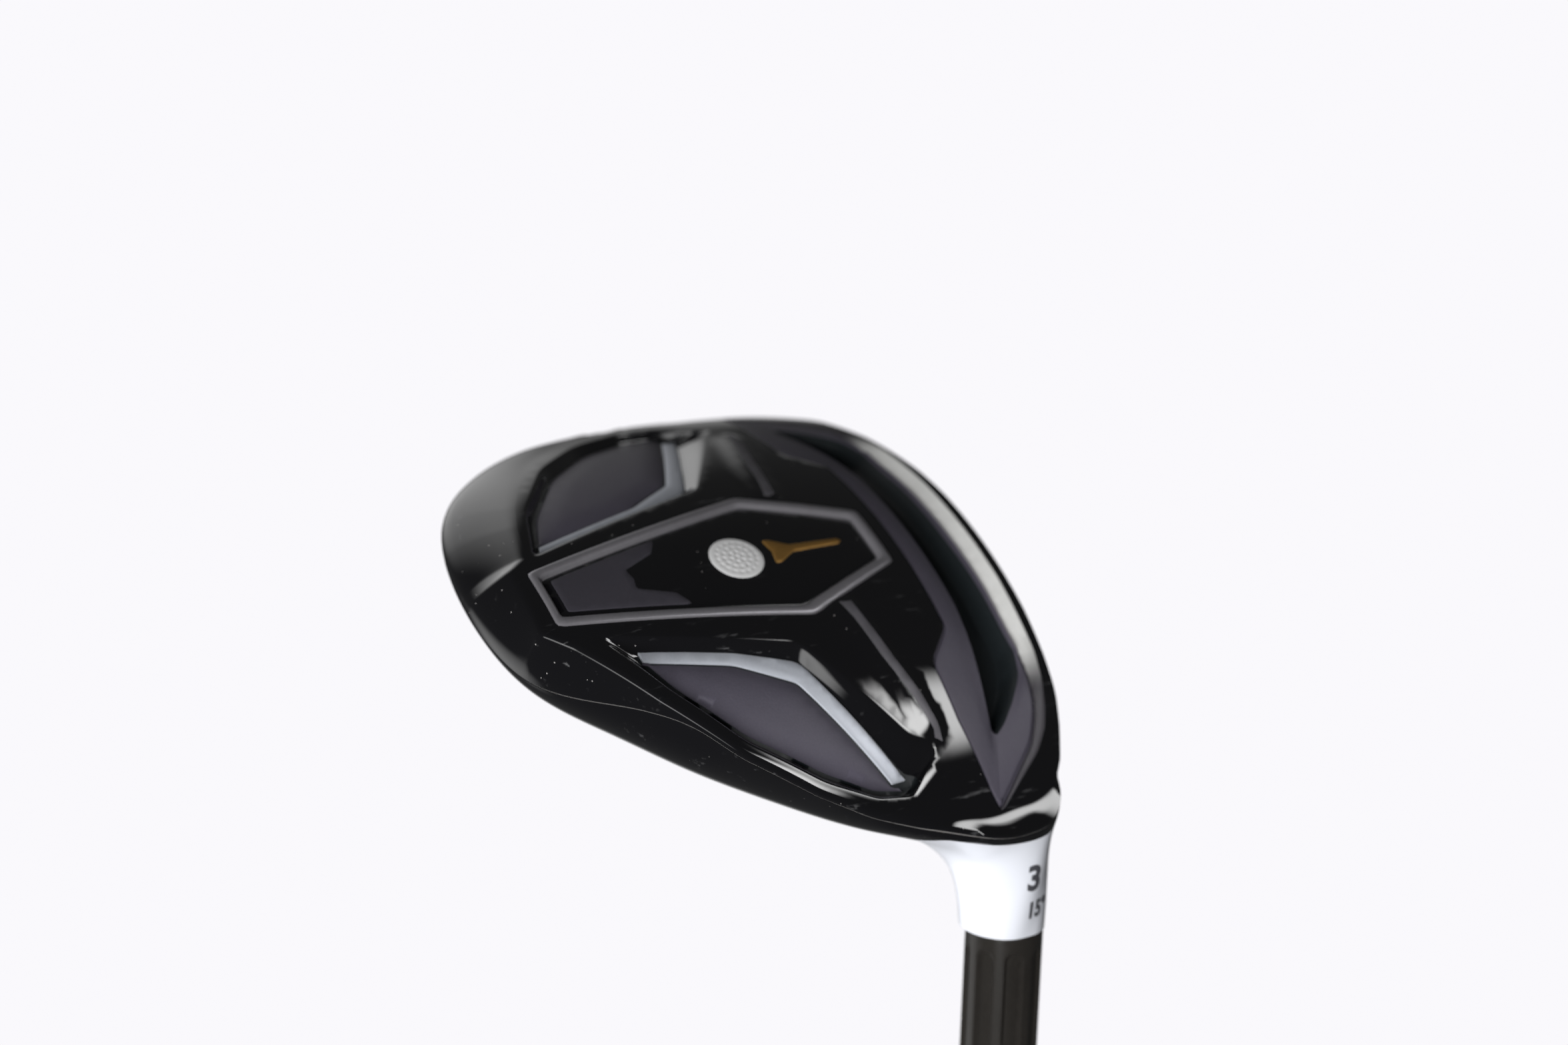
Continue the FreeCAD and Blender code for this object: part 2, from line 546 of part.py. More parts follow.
hosel_outside = size("hosel_radius")
ferrule_end = size("hosel_top") + size("ferrule_length")
ferrule_waist = size("hosel_top") + size("ferrule_band")
ferrule = turned("ferrule", [(tip, size("hosel_top")), (hosel_outside, size("hosel_top")),
                             (hosel_outside - size("ferrule_draft"), ferrule_waist),
                             (tip + size("ferrule_lip"), ferrule_end), (tip, ferrule_end)])

tape = butt + size("tape_thickness")
tape_start = grip_start + size("tape_inset")
grip_tape = turned("grip_tape", [(butt, tape_start), (tape, tape_start), (tape, butt_end),
                                 (butt, butt_end)])
mouth = size("grip_mouth_radius")
cap = size("cap_radius")
grip = turned("grip", [(tape, tape_start), (butt, tape_start), (butt, grip_start),
                       (mouth - size("grip_lip"), grip_start),
                       (mouth, grip_start + size("grip_lip_length")),
                       (size("grip_butt_radius"), butt_end - size("grip_shoulder")),
                       (cap - size("cap_overhang"), butt_end), (tape, butt_end)])
edge = size("cap_edge")
grip_cap = turned("grip_cap", [(size("vent_radius"), butt_end), (cap, butt_end),
                               (cap, club_end - edge), (cap - edge, club_end),
                               (size("vent_radius"), club_end)])

# ---------------------------------------------------------------- check and write

PIECES = [head_body, face_plate, crown, front_pad, slot_filler, badge_bezel, badge_plate, badge_adhesive,
          badge_inlay, emblem_ball, emblem_tee, heel_pad, toe_pad, heel_stripe, toe_stripe, hot_melt_glue,
          hosel_plug, tip_weight, epoxy_bond, ferrule, shaft, grip_tape, grip, grip_cap]

doc.recompute()
failed = [thing.Name for thing in doc.Objects if {"Invalid", "Error"} & set(thing.State)]
if failed:
    raise RuntimeError("failed objects: " + ", ".join(failed))
os.makedirs("parts", exist_ok=True)
for piece in PIECES:
    piece.Label = piece.Name
    if piece.Shape.isNull() or not piece.Shape.isValid() or not piece.Shape.Solids:
        raise RuntimeError("bad shape: " + piece.Label)
for piece in PIECES:
    piece.Shape.exportStep(os.path.join("parts", piece.Label + ".step"))
    print(piece.Label, len(piece.Shape.Solids), "solid(s)", round(piece.Shape.Volume, 1), "mm3")
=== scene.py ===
"""Looks of the fairway wood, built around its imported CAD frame.

Shapes are worked out in millimetres in the row frame and turned into metres when a mesh is made:
+Z up, -Y the way the face looks, +X towards the heel, origin where the sole touches the ground.
Lengths called `along` run up the shaft axis from the ground.
"""
import math

import bpy
import numpy as np
from mathutils import Matrix, Vector
from mathutils.geometry import delaunay_2d_cdt


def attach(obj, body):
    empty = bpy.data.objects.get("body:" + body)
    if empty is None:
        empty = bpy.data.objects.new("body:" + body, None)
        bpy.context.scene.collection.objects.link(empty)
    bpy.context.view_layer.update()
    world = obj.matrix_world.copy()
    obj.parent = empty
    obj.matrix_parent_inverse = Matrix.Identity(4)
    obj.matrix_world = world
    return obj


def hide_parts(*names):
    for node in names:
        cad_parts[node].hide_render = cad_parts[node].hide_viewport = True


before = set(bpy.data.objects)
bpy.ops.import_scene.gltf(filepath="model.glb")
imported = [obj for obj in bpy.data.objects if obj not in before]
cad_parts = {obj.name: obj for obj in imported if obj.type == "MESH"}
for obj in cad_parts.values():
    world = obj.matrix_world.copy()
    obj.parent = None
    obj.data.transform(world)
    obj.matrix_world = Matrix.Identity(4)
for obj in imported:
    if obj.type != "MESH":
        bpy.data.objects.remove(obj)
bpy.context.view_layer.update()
MM = 0.001

# ---- driving dimensions

LOFT = math.radians(15.0)
SHAFT_FOOT = np.array([33.53, 1.6, 0.0])
SHAFT_WAY = np.array([0.5210096, 0.0, 0.8535508])
SHAFT_BACK = np.array([0.0, 1.0, 0.0])
SHAFT_SIDE = np.cross(SHAFT_BACK, SHAFT_WAY)
HEAD_MIDDLE = np.array([0.0, 28.0])
HOSEL_R = 6.55
WHITE_END = 45.3
HOSEL_TOP = 82.0
SEAM_GAP = 0.3
SOLE_ROCKER, SOLE_CAMBER = 413.0, 90.0
FACE_RADIUS, FACE_CENTRE_Z, FACE_CENTRE_RISE, LEADING_Y = 305.0, 19.0, 17.0, -11.0
CROWN_TOP, CROWN_FRONT_RISE, CROWN_POWER, CROWN_EDGE_R = 37.3, 16.0, 2.3, 5.0
JOINT_LOW, JOINT_HIGH = 1.1, 17.8
SKIRT_POWER, SKIRT_LEAN = 1.7, 40.0
NECK_START, NECK_BLEND, NECK_SWELL = 21.0, 4.0, 0.25
FLARE_R, FLARE_INNER_R, FACE_EDGE_R = 5.0, 17.0, 3.5
FACE_TOE, FACE_HEEL, FACE_TOP = -44.0, 33.0, 31.5
FORWARD, DOWNWARD = np.array([0.0, -1.0, 0.0]), np.array([0.0, 0.0, -1.0])

# ---- surfaces of the head


def sole_z(x, y, depth=0.0):
    """Height of the sole, an arc swept along a wider arc, moved into the head by depth."""
    arc = np.sqrt(SOLE_ROCKER ** 2 - np.asarray(y, float) ** 2) - SOLE_ROCKER + SOLE_CAMBER
    return SOLE_CAMBER - np.sqrt(arc ** 2 - np.asarray(x, float) ** 2) + depth


def periodic_spline(points, count):
    """Smooth closed curve through the points, sampled count times."""
    p = np.asarray(points, float)
    n = len(p)
    step = np.linalg.norm(np.roll(p, -1, 0) - p, axis=1)
    before = np.roll(step, 1)
    system = np.diag(2.0 * (before + step))
    for i in range(n):
        system[i, (i + 1) % n] += step[i]
        system[i, (i - 1) % n] += before[i]
    slope = (np.roll(p, -1, 0) - p) / step[:, None]
    bend = np.linalg.solve(system, 6.0 * (slope - np.roll(slope, 1, 0)))
    knots = np.concatenate([[0.0], np.cumsum(step)])
    t = np.linspace(0.0, knots[-1], count, endpoint=False)
    i = np.clip(np.searchsorted(knots, t, "right") - 1, 0, n - 1)
    h, j = step[i][:, None], (i + 1) % n
    u = (t - knots[i])[:, None]
    v = h - u
    return (bend[i] * v ** 3 / (6 * h) + bend[j] * u ** 3 / (6 * h)
            + (p[i] / h - bend[i] * h / 6) * v + (p[j] / h - bend[j] * h / 6) * u)


def filleted(corners, closed=True, arc=6):
    """Outline with rounded corners; each corner is (x, y, radius)."""
    pts = [np.array(c[:2], float) for c in corners]
    n = len(pts)
    out = []
    for i, corner in enumerate(corners):
        if not closed and i in (0, n - 1):
            out.append(pts[i])
            continue
        p, a, b = pts[i], pts[i - 1], pts[(i + 1) % n]
        to_a, to_b = (a - p), (b - p)
        la, lb = np.linalg.norm(to_a), np.linalg.norm(to_b)
        to_a, to_b = to_a / la, to_b / lb
        half = 0.5 * math.acos(float(np.clip(to_a @ to_b, -1, 1)))
        cut = min(corner[2] / max(math.tan(half), 1e-6), 0.47 * la, 0.47 * lb)
        start, end = p + to_a * cut, p + to_b * cut
        for k in range(arc + 1):
            t = k / arc
            out.append((1 - t) ** 2 * start + 2 * t * (1 - t) * p + t * t * end)
    return np.array(out)


def polar(points):
    """Radius of a closed outline about the head's middle, as a function of angle."""
    d = np.asarray(points) - HEAD_MIDDLE
    angle, radius = np.arctan2(d[:, 1], d[:, 0]), np.hypot(d[:, 0], d[:, 1])
    order = np.argsort(angle)
    angle, radius = angle[order], radius[order]
    angle = np.concatenate([angle[-4:] - 2 * math.pi, angle, angle[:4] + 2 * math.pi])
    radius = np.concatenate([radius[-4:], radius, radius[:4]])
    return lambda a: np.interp(a, angle, radius)


def dense(points, step=0.3, closed=True):
    """The same polyline with extra points."""
    p = np.asarray(points, float)
    q = np.roll(p, -1, 0) if closed else p[1:]
    p = p if closed else p[:-1]
    out = []
    for a, b in zip(p, q):
        n = max(1, int(np.linalg.norm(b - a) / step))
        out += [a + (b - a) * k / n for k in range(n)]
    return np.array(out)


# Outline of the head at WIDEST_Z, where the skirt meets the crown, and the edge of the sole.
WIDEST_Z = 18.5
PLANFORM = [(-46, -12), (-52.8, 4), (-55, 20), (-53.8, 36), (-49.8, 51), (-42.5, 65), (-32, 75.5),
            (-19.5, 79.6), (-6, 80), (6.5, 76.8), (17.5, 67.7), (29, 56.6), (39.8, 43.6), (47.3, 33.0),
            (51.8, 23.8), (54, 12), (53, 0), (49, -11)]
SOLE_EDGE = [(-31.6, -9.5, 20), (-43.5, -7.0, 6), (-51.4, 4, 10), (-52.2, 14, 20), (-51.0, 34, 20),
             (-46.8, 46, 20), (-40, 56, 20), (-31.7, 62.9, 20), (-24.2, 67.4, 10), (-18.3, 69.9, 10),
             (-9.8, 72.3, 1.2), (-7.8, 75.2, 1.2), (6.8, 76.0, 1.5), (10.8, 71.8, 6), (23.2, 62.4, 20),
             (34.4, 52.4, 20), (42.7, 41.3, 20), (47.2, 32.8, 14), (49.6, 24.5, 20), (52.0, 11, 20),
             (51.0, 0, 10), (46.2, -5.9, 5), (40.6, -8.2, 10), (35.3, -9.9, 20), (28.9, -10.6, 20),
             (19.9, -11.1, 20), (9.8, -11.2, 20), (-8.7, -11.3, 20), (-16.9, -11.0, 20)]
SOLE_LINE = filleted(SOLE_EDGE)
edge_radius = polar(dense(SOLE_LINE))
widest_radius = polar(periodic_spline(PLANFORM, 1440))
# The leading edge seen from above, carried on past the head at both ends.
FRONT_ENDS = [(-60, -2), (-50, -5), (-24.2, -10.1), (60, 0)]
FRONT_X, FRONT_Y = np.array(sorted(FRONT_ENDS + [(x, y) for x, y, _ in SOLE_EDGE if y < -5])).T


def smooth_step(low, high, value):
    t = np.clip((value - low) / (high - low), 0.0, 1.0)
    return t * t * (3 - 2 * t)


def ball_y(x, z):
    """The face's bulge and roll: a sphere through the face's centre."""
    back = FACE_CENTRE_RISE * math.tan(LOFT) + LEADING_Y + FACE_RADIUS * math.cos(LOFT)
    low = FACE_CENTRE_Z - FACE_RADIUS * math.sin(LOFT)
    return back - np.sqrt(np.maximum(FACE_RADIUS ** 2 - x ** 2 - (z - low) ** 2, 1.0))


def face_y(x, z):
    """Face surface; its lower end is drawn forward to the leading edge."""
    root = sole_z(np.clip(x, -56, 56), LEADING_Y)
    lead = np.interp(x, FRONT_X, FRONT_Y)
    return ball_y(x, z) + (lead - ball_y(x, root)) * np.exp(-np.maximum(z - root, -2.0) / 4.0)


def smooth_max(a, b, r):
    """The larger of two fields, with the corner rounded over r."""
    h = np.maximum(r - np.abs(a - b), 0.0) / r
    return np.maximum(a, b) + h * h * r * 0.25


def around_middle(x, y):
    """Angle about the head's middle and distance from it, in plan."""
    dx, dy = x - HEAD_MIDDLE[0], y - HEAD_MIDDLE[1]
    return np.arctan2(dy, dx), np.hypot(dx, dy)


def sole_edge(angle):
    """Radius and height of the sole's edge in a direction."""
    edge = edge_radius(angle)
    return edge, sole_z(HEAD_MIDDLE[0] + edge * np.cos(angle), HEAD_MIDDLE[1] + edge * np.sin(angle))


def skirt_field(x, y, z):
    """Below zero inside the skirt: its radius grows from the sole's edge to the widest outline."""
    angle, rho = around_middle(x, y)
    edge, root = sole_edge(angle)
    wide = widest_radius(angle)
    below = np.clip(1.0 - (z - root) / (WIDEST_Z - root), 0.0, 1.6)
    rise = 1.0 - below ** SKIRT_POWER
    lean = np.maximum(z - WIDEST_Z, 0.0) ** 2 / SKIRT_LEAN
    slope = SKIRT_POWER * (wide - edge) / (WIDEST_Z - root) * below ** (SKIRT_POWER - 1)
    return (rho - edge - (wide - edge) * rise + lean) / np.sqrt(1.0 + slope ** 2)


def joint_z(x, y):
    """Height of the joint line: just over the sole's edge, but high behind and at the toe."""
    angle, _ = around_middle(x, y)
    low = sole_edge(angle)[1] + JOINT_LOW
    high = np.where(angle > 0, smooth_step(0.75, 1.5, angle), smooth_step(-2.55, -3.05, angle))
    return low + (JOINT_HIGH - low) * high


def axis_parts(x, y, z):
    """Distance along the shaft axis, and offsets across it towards side and back."""
    dx, dy, dz = x - SHAFT_FOOT[0], y - SHAFT_FOOT[1], z - SHAFT_FOOT[2]
    along = dx * SHAFT_WAY[0] + dz * SHAFT_WAY[2]
    side = dx * SHAFT_SIDE[0] + dz * SHAFT_SIDE[2]
    return along, side, dy


def crown_z(x, y):
    """Height of the crown: domed from one apex down to a rim that is low behind and high in front."""
    angle, rho = around_middle(x, y)
    t = rho / widest_radius(angle)
    rim = WIDEST_Z + 0.1 + CROWN_FRONT_RISE * smooth_step(0.35, 1.0, -np.sin(angle))
    return rim + (CROWN_TOP - rim) * (1.0 - np.minimum(t, 1.3) ** CROWN_POWER)


def head_field(x, y, z):
    """Below zero inside the head and its neck; close to a distance near the surface."""
    skirt = skirt_field(x, y, z)
    face = (face_y(x, z) - y) * math.cos(LOFT)
    dome = (z - crown_z(x, y)) * 0.9
    along, side, back = axis_parts(x, y, z)
    rho = np.hypot(side, back)
    neck = rho - HOSEL_R - NECK_SWELL * smooth_step(52.0, 40.0, along)
    neck = smooth_max(neck, NECK_START - along, NECK_BLEND)
    body = smooth_max(skirt, dome, CROWN_EDGE_R)
    turned_in = np.clip(0.5 + 0.36 * (back - side) / np.maximum(rho, 1.0), 0.0, 1.0)
    flare = -smooth_max(-body, -neck, FLARE_R + FLARE_INNER_R * turned_in)
    wall = smooth_max(flare, face, FACE_EDGE_R)
    return -smooth_max(-wall, -neck, NECK_BLEND)


def gradient(points, reach):
    """Slope of the head field, measured over a short reach to either side."""
    rise = [head_field(*(points + e).T) - head_field(*(points - e).T) for e in np.eye(3) * reach]
    return np.stack(rise, 1) / (2 * reach)


def field_normals(points):
    """Outward directions of the head surface."""
    g = gradient(points, 0.15)
    return g / np.linalg.norm(g, axis=1)[:, None]


def skin(foot, way, low, high):
    """Where rays from the foot points along `way` leave the head, found by halving [low, high]."""
    for _ in range(34):
        mid = (low + high) / 2
        outside = head_field(*(foot + way * mid[:, None]).T) > 0
        low, high = np.where(outside, low, mid), np.where(outside, mid, high)
    return (low + high) / 2

# ---- mesh builders

COLLECTION = bpy.context.scene.collection


def make(name, verts, faces, material, node=None, normals=None, sharp=38.0):
    """A mesh piece from millimetre vertices; node is the CAD node (or nodes) it stands for."""
    mesh = bpy.data.meshes.new(name)
    mesh.from_pydata((np.asarray(verts, float) * MM).tolist(), [], [list(map(int, f)) for f in faces])
    mesh.validate()
    for extra in (material if isinstance(material, list) else [material]):
        mesh.materials.append(extra)
    mesh.polygons.foreach_set("use_smooth", np.ones(len(mesh.polygons), bool))
    if normals is None:
        mesh.set_sharp_from_angle(angle=math.radians(sharp))
    else:
        mesh.normals_split_custom_set_from_vertices(np.asarray(normals).tolist())
    piece = bpy.data.objects.new(name, mesh)
    COLLECTION.objects.link(piece)
    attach(piece, "root")
    if node:
        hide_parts(*([node] if isinstance(node, str) else node))
    return piece


def torus(loops):
    """Faces between successive loops, and from the last loop back to the first."""
    verts, faces = rings(loops + loops[:1])
    count = len(verts) - len(loops[0])
    return verts[:count], [tuple(i % count for i in f) for f in faces]


def rings(loops, closed=True, cap_first=False, cap_last=False):
    """Faces between successive loops of equal length; loops are (n, 3) arrays."""
    n = len(loops[0])
    verts = np.concatenate(loops)
    faces = []
    around = n if closed else n - 1
    for r in range(len(loops) - 1):
        for i in range(around):
            j = (i + 1) % n
            faces.append((r * n + i, r * n + j, (r + 1) * n + j, (r + 1) * n + i))
    if cap_first:
        faces.append(tuple(range(n - 1, -1, -1)))
    if cap_last:
        last = (len(loops) - 1) * n
        faces.append(tuple(range(last, last + n)))
    return verts, faces


def thickened(verts, faces, normals, wall):
    """Closes an open sheet: a second sheet `wall` behind it and a strip round every free edge."""
    verts, n = np.asarray(verts, float), len(verts)
    directed = {}
    for f in faces:
        for a, b in zip(f, tuple(f[1:]) + (f[0],)):
            directed[(a, b)] = True
    rim = [(a, b) for a, b in directed if (b, a) not in directed]
    inner = [tuple(v + n for v in f) for f in turned(faces)]
    strip = [(b, a, a + n, b + n) for a, b in rim]
    return (np.concatenate([verts, verts - np.asarray(normals) * wall]), list(faces) + inner + strip,
            np.concatenate([normals, -np.asarray(normals)]))


def turned(faces):
    """The same faces seen from the other side."""
    return [tuple(f)[::-1] for f in faces]


def plate(name, verts, faces, way, wall, material, node, sharp):
    """A thin piece behind a sheet; its outer side is the one that looks along `way`."""
    normals = sheet_normals(verts, [f for f in faces if len(f) < 5])
    if (normals * way).sum() < 0:
        faces, normals = turned(faces), -normals
    verts, faces, _ = thickened(verts, faces, normals, wall)
    make(name, verts, faces, material, node, sharp=sharp)


def sheet_normals(verts, faces):
    """Vertex normals of a sheet of triangles or quads."""
    verts = np.asarray(verts, float)
    total = np.zeros_like(verts)
    for f in faces:
        total[list(f)] += np.cross(verts[f[2]] - verts[f[0]], verts[f[-1]] - verts[f[1]])
    return total / np.maximum(np.linalg.norm(total, axis=1), 1e-9)[:, None]


def surface_net(low, high, step):
    """Quads where the head field crosses zero inside a box, one vertex in each crossed cell."""
    axes = [np.arange(a, b + step / 2, step) for a, b in zip(low, high)]
    value = head_field(*np.meshgrid(*axes, indexing="ij"))
    inside = value < 0
    size = np.array(value.shape) - 1
    total, count = np.zeros((*size, 3)), np.zeros(size)
    corners = [(a, b, c) for a in (0, 1) for b in (0, 1) for c in (0, 1)]

    def part(array, shift):
        return array[shift[0]:size[0] + shift[0], shift[1]:size[1] + shift[1], shift[2]:size[2] + shift[2]]

    for first in corners:
        for axis in range(3):
            if first[axis]:
                continue
            second = tuple(v + (k == axis) for k, v in enumerate(first))
            a, b = part(value, first), part(value, second)
            hit = (a < 0) != (b < 0)
            t = np.where(hit, a / np.where(hit, a - b, 1.0), 0.0)
            for k in range(3):
                total[..., k] += np.where(hit, first[k] + (t if k == axis else 0.0), 0.0)
            count += hit
    cells = np.argwhere(count > 0)
    number = -np.ones(size, int)
    number[tuple(cells.T)] = np.arange(len(cells))
    verts = np.array(low) + step * (cells + total[count > 0] / count[count > 0][:, None])
    quads = []
    for axis in range(3):
        u, v = (axis + 1) % 3, (axis + 2) % 3
        ahead = np.roll(inside, -1, axis)
        crossed = np.argwhere(inside != ahead)
        ok = ((crossed[:, axis] < size[axis]) & (crossed[:, u] > 0) & (crossed[:, v] > 0)
              & (crossed[:, u] < size[u]) & (crossed[:, v] < size[v]))
        crossed = crossed[ok]
        eu, ev = np.eye(3, dtype=int)[u], np.eye(3, dtype=int)[v]
        ring = [number[tuple((crossed - s).T)] for s in (0 * eu, eu, eu + ev, ev)]
        quad = np.stack(ring, 1)
        flip = ~inside[tuple(crossed.T)]
        quad[flip] = quad[flip][:, ::-1]
        quads.append(quad)
    return verts, np.concatenate(quads)


def settled(verts):
    """Moves vertices onto the head's surface."""
    for _ in range(4):
        g = gradient(verts, 0.1)
        verts = verts - g * (head_field(*verts.T) / np.maximum((g ** 2).sum(1), 1e-6))[:, None]
    return verts


def clipped(verts, tris, measure):
    """The part of a triangle mesh where measure(verts) is above zero, cut exactly on the line."""
    m = measure(verts)
    keep = m > 0
    verts, made, out = list(verts), {}, []

    def between(a, b):
        key = (min(a, b), max(a, b))
        if key not in made:
            t = m[a] / (m[a] - m[b])
            made[key] = len(verts)
            verts.append(verts[a] + (verts[b] - verts[a]) * t)
        return made[key]

    state = keep[tris].sum(1)
    out += [tuple(t) for t in tris[state == 3]]
    for a, b, c in tris[(state > 0) & (state < 3)]:
        # Turns the triangle until its odd corner comes first.
        while keep[b] != keep[c]:
            a, b, c = b, c, a
        p, q = between(a, b), between(a, c)
        out += [(a, p, q)] if keep[a] else [(p, b, c), (p, c, q)]
    out = np.array(out)
    used, back = np.unique(out, return_inverse=True)
    return np.array(verts)[used], back.reshape(out.shape)


def tube(profile, sides):
    """Loops about the shaft axis from (radius, along) pairs; the radius may be a function of angle."""
    turn = np.arange(sides) * 2 * math.pi / sides
    loops = []
    for radius, along in profile:
        r = radius(turn) if callable(radius) else np.full(sides, float(radius))
        loops.append(SHAFT_FOOT + along * SHAFT_WAY + (r * np.cos(turn))[:, None] * SHAFT_SIDE
                     + (r * np.sin(turn))[:, None] * SHAFT_BACK)
    return loops

# ---- materials


def put(tree, socket, value):
    """Sets a socket, or links a node's output to it; a colour may leave out its alpha."""
    if isinstance(value, bpy.types.NodeSocket):
        tree.links.new(value, socket)
    elif socket.type == "RGBA":
        socket.default_value = (*value, 1.0)
    else:
        socket.default_value = value


def add_node(tree, kind, inputs=(), **settings):
    """A shader node with its settings; inputs are (socket, value or output) pairs."""
    node = tree.nodes.new(kind)
    for key, value in settings.items():
        setattr(node, key, value)
    for key, value in inputs:
        put(tree, node.inputs[key], value)
    return node


class Shader:
    """A material whose nodes work in millimetres."""

    def __init__(self, name):
        self.material = bpy.data.materials.new(name)
        self.material.use_nodes = True
        self.tree = self.material.node_tree
        self.out = self.tree.nodes["Principled BSDF"]
        place = self.add("ShaderNodeNewGeometry").outputs["Position"]
        scale = self.add("ShaderNodeVectorMath", [(0, place), ("Scale", 1 / MM)], operation="SCALE")
        self.place = scale.outputs[0]

    def add(self, kind, inputs=(), **settings):
        return add_node(self.tree, kind, inputs, **settings)

    def maths(self, operation, a, b=0.0, c=0.0):
        return self.add("ShaderNodeMath", enumerate((a, b, c)), operation=operation).outputs[0]

    def noise(self, size, detail=3.0, rough=0.55, stretch=(1, 1, 1)):
        """Noise whose features are about `size` millimetres across."""
        scale = [v / size for v in stretch]
        move = self.add("ShaderNodeMapping", [("Vector", self.place), ("Scale", scale)]).outputs[0]
        node = self.add("ShaderNodeTexNoise", [("Vector", move), ("Scale", 1.0), ("Detail", detail),
                                               ("Roughness", rough)])
        return node.outputs["Fac"]

    def specks(self, size, radius):
        """Sparse dots: one for about every `size` millimetres, each `radius` of that across."""
        cell = self.add("ShaderNodeTexVoronoi", [("Vector", self.place), ("Scale", 1.0 / size)])
        sparse = self.maths("GREATER_THAN", self.noise(9.0, 2.0), 0.56)
        return self.maths("MULTIPLY", self.maths("LESS_THAN", cell.outputs["Distance"], radius), sparse)

    def ramp(self, value, low, high):
        return self.add("ShaderNodeMapRange", [("Value", value), ("From Min", low), ("From Max", high)],
                        interpolation_type="SMOOTHSTEP").outputs["Result"]

    def mix(self, amount, a, b):
        return self.add("ShaderNodeMix", [("Factor", amount), (6, a), (7, b)], data_type="RGBA").outputs[2]

    def bump(self, height, depth_mm, strength=1.0):
        node = self.add("ShaderNodeBump", [("Height", height), ("Distance", depth_mm * MM),
                                           ("Strength", strength)])
        self.set(Normal=node.outputs[0])

    def set(self, **values):
        for key, value in values.items():
            put(self.tree, self.out.inputs[key.replace("_", " ")], value)
        return self.material


def lacquer(name, colour, dust=0.0, wear=0.0, rough=0.05, gloss=1.0):
    """Glossy paint under a clear coat, with dust specks and fine rubbed patches."""
    s = Shader(name)
    cloud = s.noise(14.0, 4.0)
    scratch = s.ramp(s.noise(1.2, 3.0, 0.6, (1, 0.12, 1)), 0.62, 0.74)
    rubbed = s.maths("MULTIPLY", scratch, s.maths("MULTIPLY", s.ramp(cloud, 0.45, 0.65), wear))
    pale = s.mix(rubbed, colour, (0.35, 0.35, 0.36))
    spots = s.maths("MULTIPLY", s.specks(1.7, 0.07), dust)
    pale = s.mix(spots, pale, (0.45, 0.43, 0.42))
    s.bump(s.noise(2.5, 2.0), 0.004, 0.5)
    coat = s.maths("SUBTRACT", gloss, spots)
    return s.set(Base_Color=pale, Roughness=s.maths("MULTIPLY_ADD", rubbed, 0.5, rough), Coat_Weight=coat,
                 Coat_Roughness=s.maths("MULTIPLY_ADD", cloud, 0.03, 0.01), Specular_IOR_Level=0.5)


def satin(name, dark, light, rough, grain, depth, metal=0.0, coat=0.0, fade=None):
    """Matt plastic, metal or rubber with a fine grain; it can darken towards heel and toe."""
    s = Shader(name)
    fine, broad = s.noise(grain, 4.0, 0.65), s.noise(9.0, 3.0)
    tone = s.mix(s.maths("MULTIPLY_ADD", fine, 0.6, s.maths("MULTIPLY", broad, 0.4)), dark, light)
    if fade:
        split = s.add("ShaderNodeSeparateXYZ", [(0, s.place)])
        far = s.ramp(s.maths("ABSOLUTE", split.outputs["X"]), *fade)
        tone = s.mix(far, tone, (0.07, 0.066, 0.075))
    s.bump(fine, depth)
    return s.set(Base_Color=tone, Roughness=s.maths("MULTIPLY_ADD", broad, 0.16, rough), Metallic=metal,
                 Coat_Weight=coat, Coat_Roughness=0.15)


def brushed(name, dark, light, rough, stretch=(1, 0.05, 1), depth=0.01):
    """Bare metal with a fine lay in one direction."""
    s = Shader(name)
    lay, broad = s.noise(0.5, 3.0, 0.6, stretch), s.noise(7.0, 3.0)
    s.bump(lay, depth, 0.6)
    return s.set(Base_Color=s.mix(lay, dark, light), Metallic=1.0,
                 Roughness=s.maths("MULTIPLY_ADD", broad, 0.2, rough))


BLACK = lacquer("gloss_black_paint", (0.004, 0.004, 0.005), dust=0.7, wear=0.25)
CROWN_BLACK = lacquer("crown_black_paint", (0.004, 0.004, 0.005), dust=0.2, wear=0.2)
WHITE = lacquer("gloss_white_paint", (0.76, 0.78, 0.84), wear=0.0, rough=0.3, gloss=0.4)
PLATE_BLACK = lacquer("badge_black_enamel", (0.003, 0.003, 0.004), dust=0.6, wear=0.1)
FERRULE_BLACK = lacquer("ferrule_black_plastic", (0.006, 0.006, 0.007), wear=0.1, rough=0.12)
PAD = satin("satin_pad", (0.058, 0.054, 0.072), (0.118, 0.108, 0.140), 0.34, 0.35, 0.04)
SLOT = satin("slot_polymer", (0.006, 0.008, 0.009), (0.020, 0.025, 0.028), 0.34, 0.5, 0.015)
# Near-white base colour: the chamfer's bare worn metal plus a painted reflection, since it is lit only
# diffusely; darker towards heel and toe.
EDGE_METAL_PAINTED_REFLECTION = satin("slot_edge_steel_painted_reflection", (0.52, 0.52, 0.50), (0.86, 0.86, 0.85), 0.34, 0.6, 0.03, metal=0.12,
             fade=(26.0, 34.0))
STRIPE = satin("silver_stripe", (0.50, 0.53, 0.59), (0.74, 0.77, 0.84), 0.32, 0.4, 0.01, metal=0.4)
BEZEL = satin("satin_nickel", (0.24, 0.23, 0.25), (0.42, 0.41, 0.44), 0.26, 0.5, 0.012, metal=0.6)
RIB = satin("rib_satin_steel", (0.10, 0.10, 0.11), (0.20, 0.19, 0.21), 0.34, 0.5, 0.008, metal=0.3)
INLAY = satin("inlay_satin", (0.034, 0.032, 0.040), (0.066, 0.062, 0.076), 0.36, 0.35, 0.02)
GOLD = satin("gold_enamel", (0.42, 0.22, 0.05), (0.66, 0.38, 0.12), 0.26, 0.5, 0.012, metal=0.75)
ENAMEL = satin("white_enamel", (0.70, 0.70, 0.70), (0.90, 0.90, 0.90), 0.28, 0.6, 0.012)
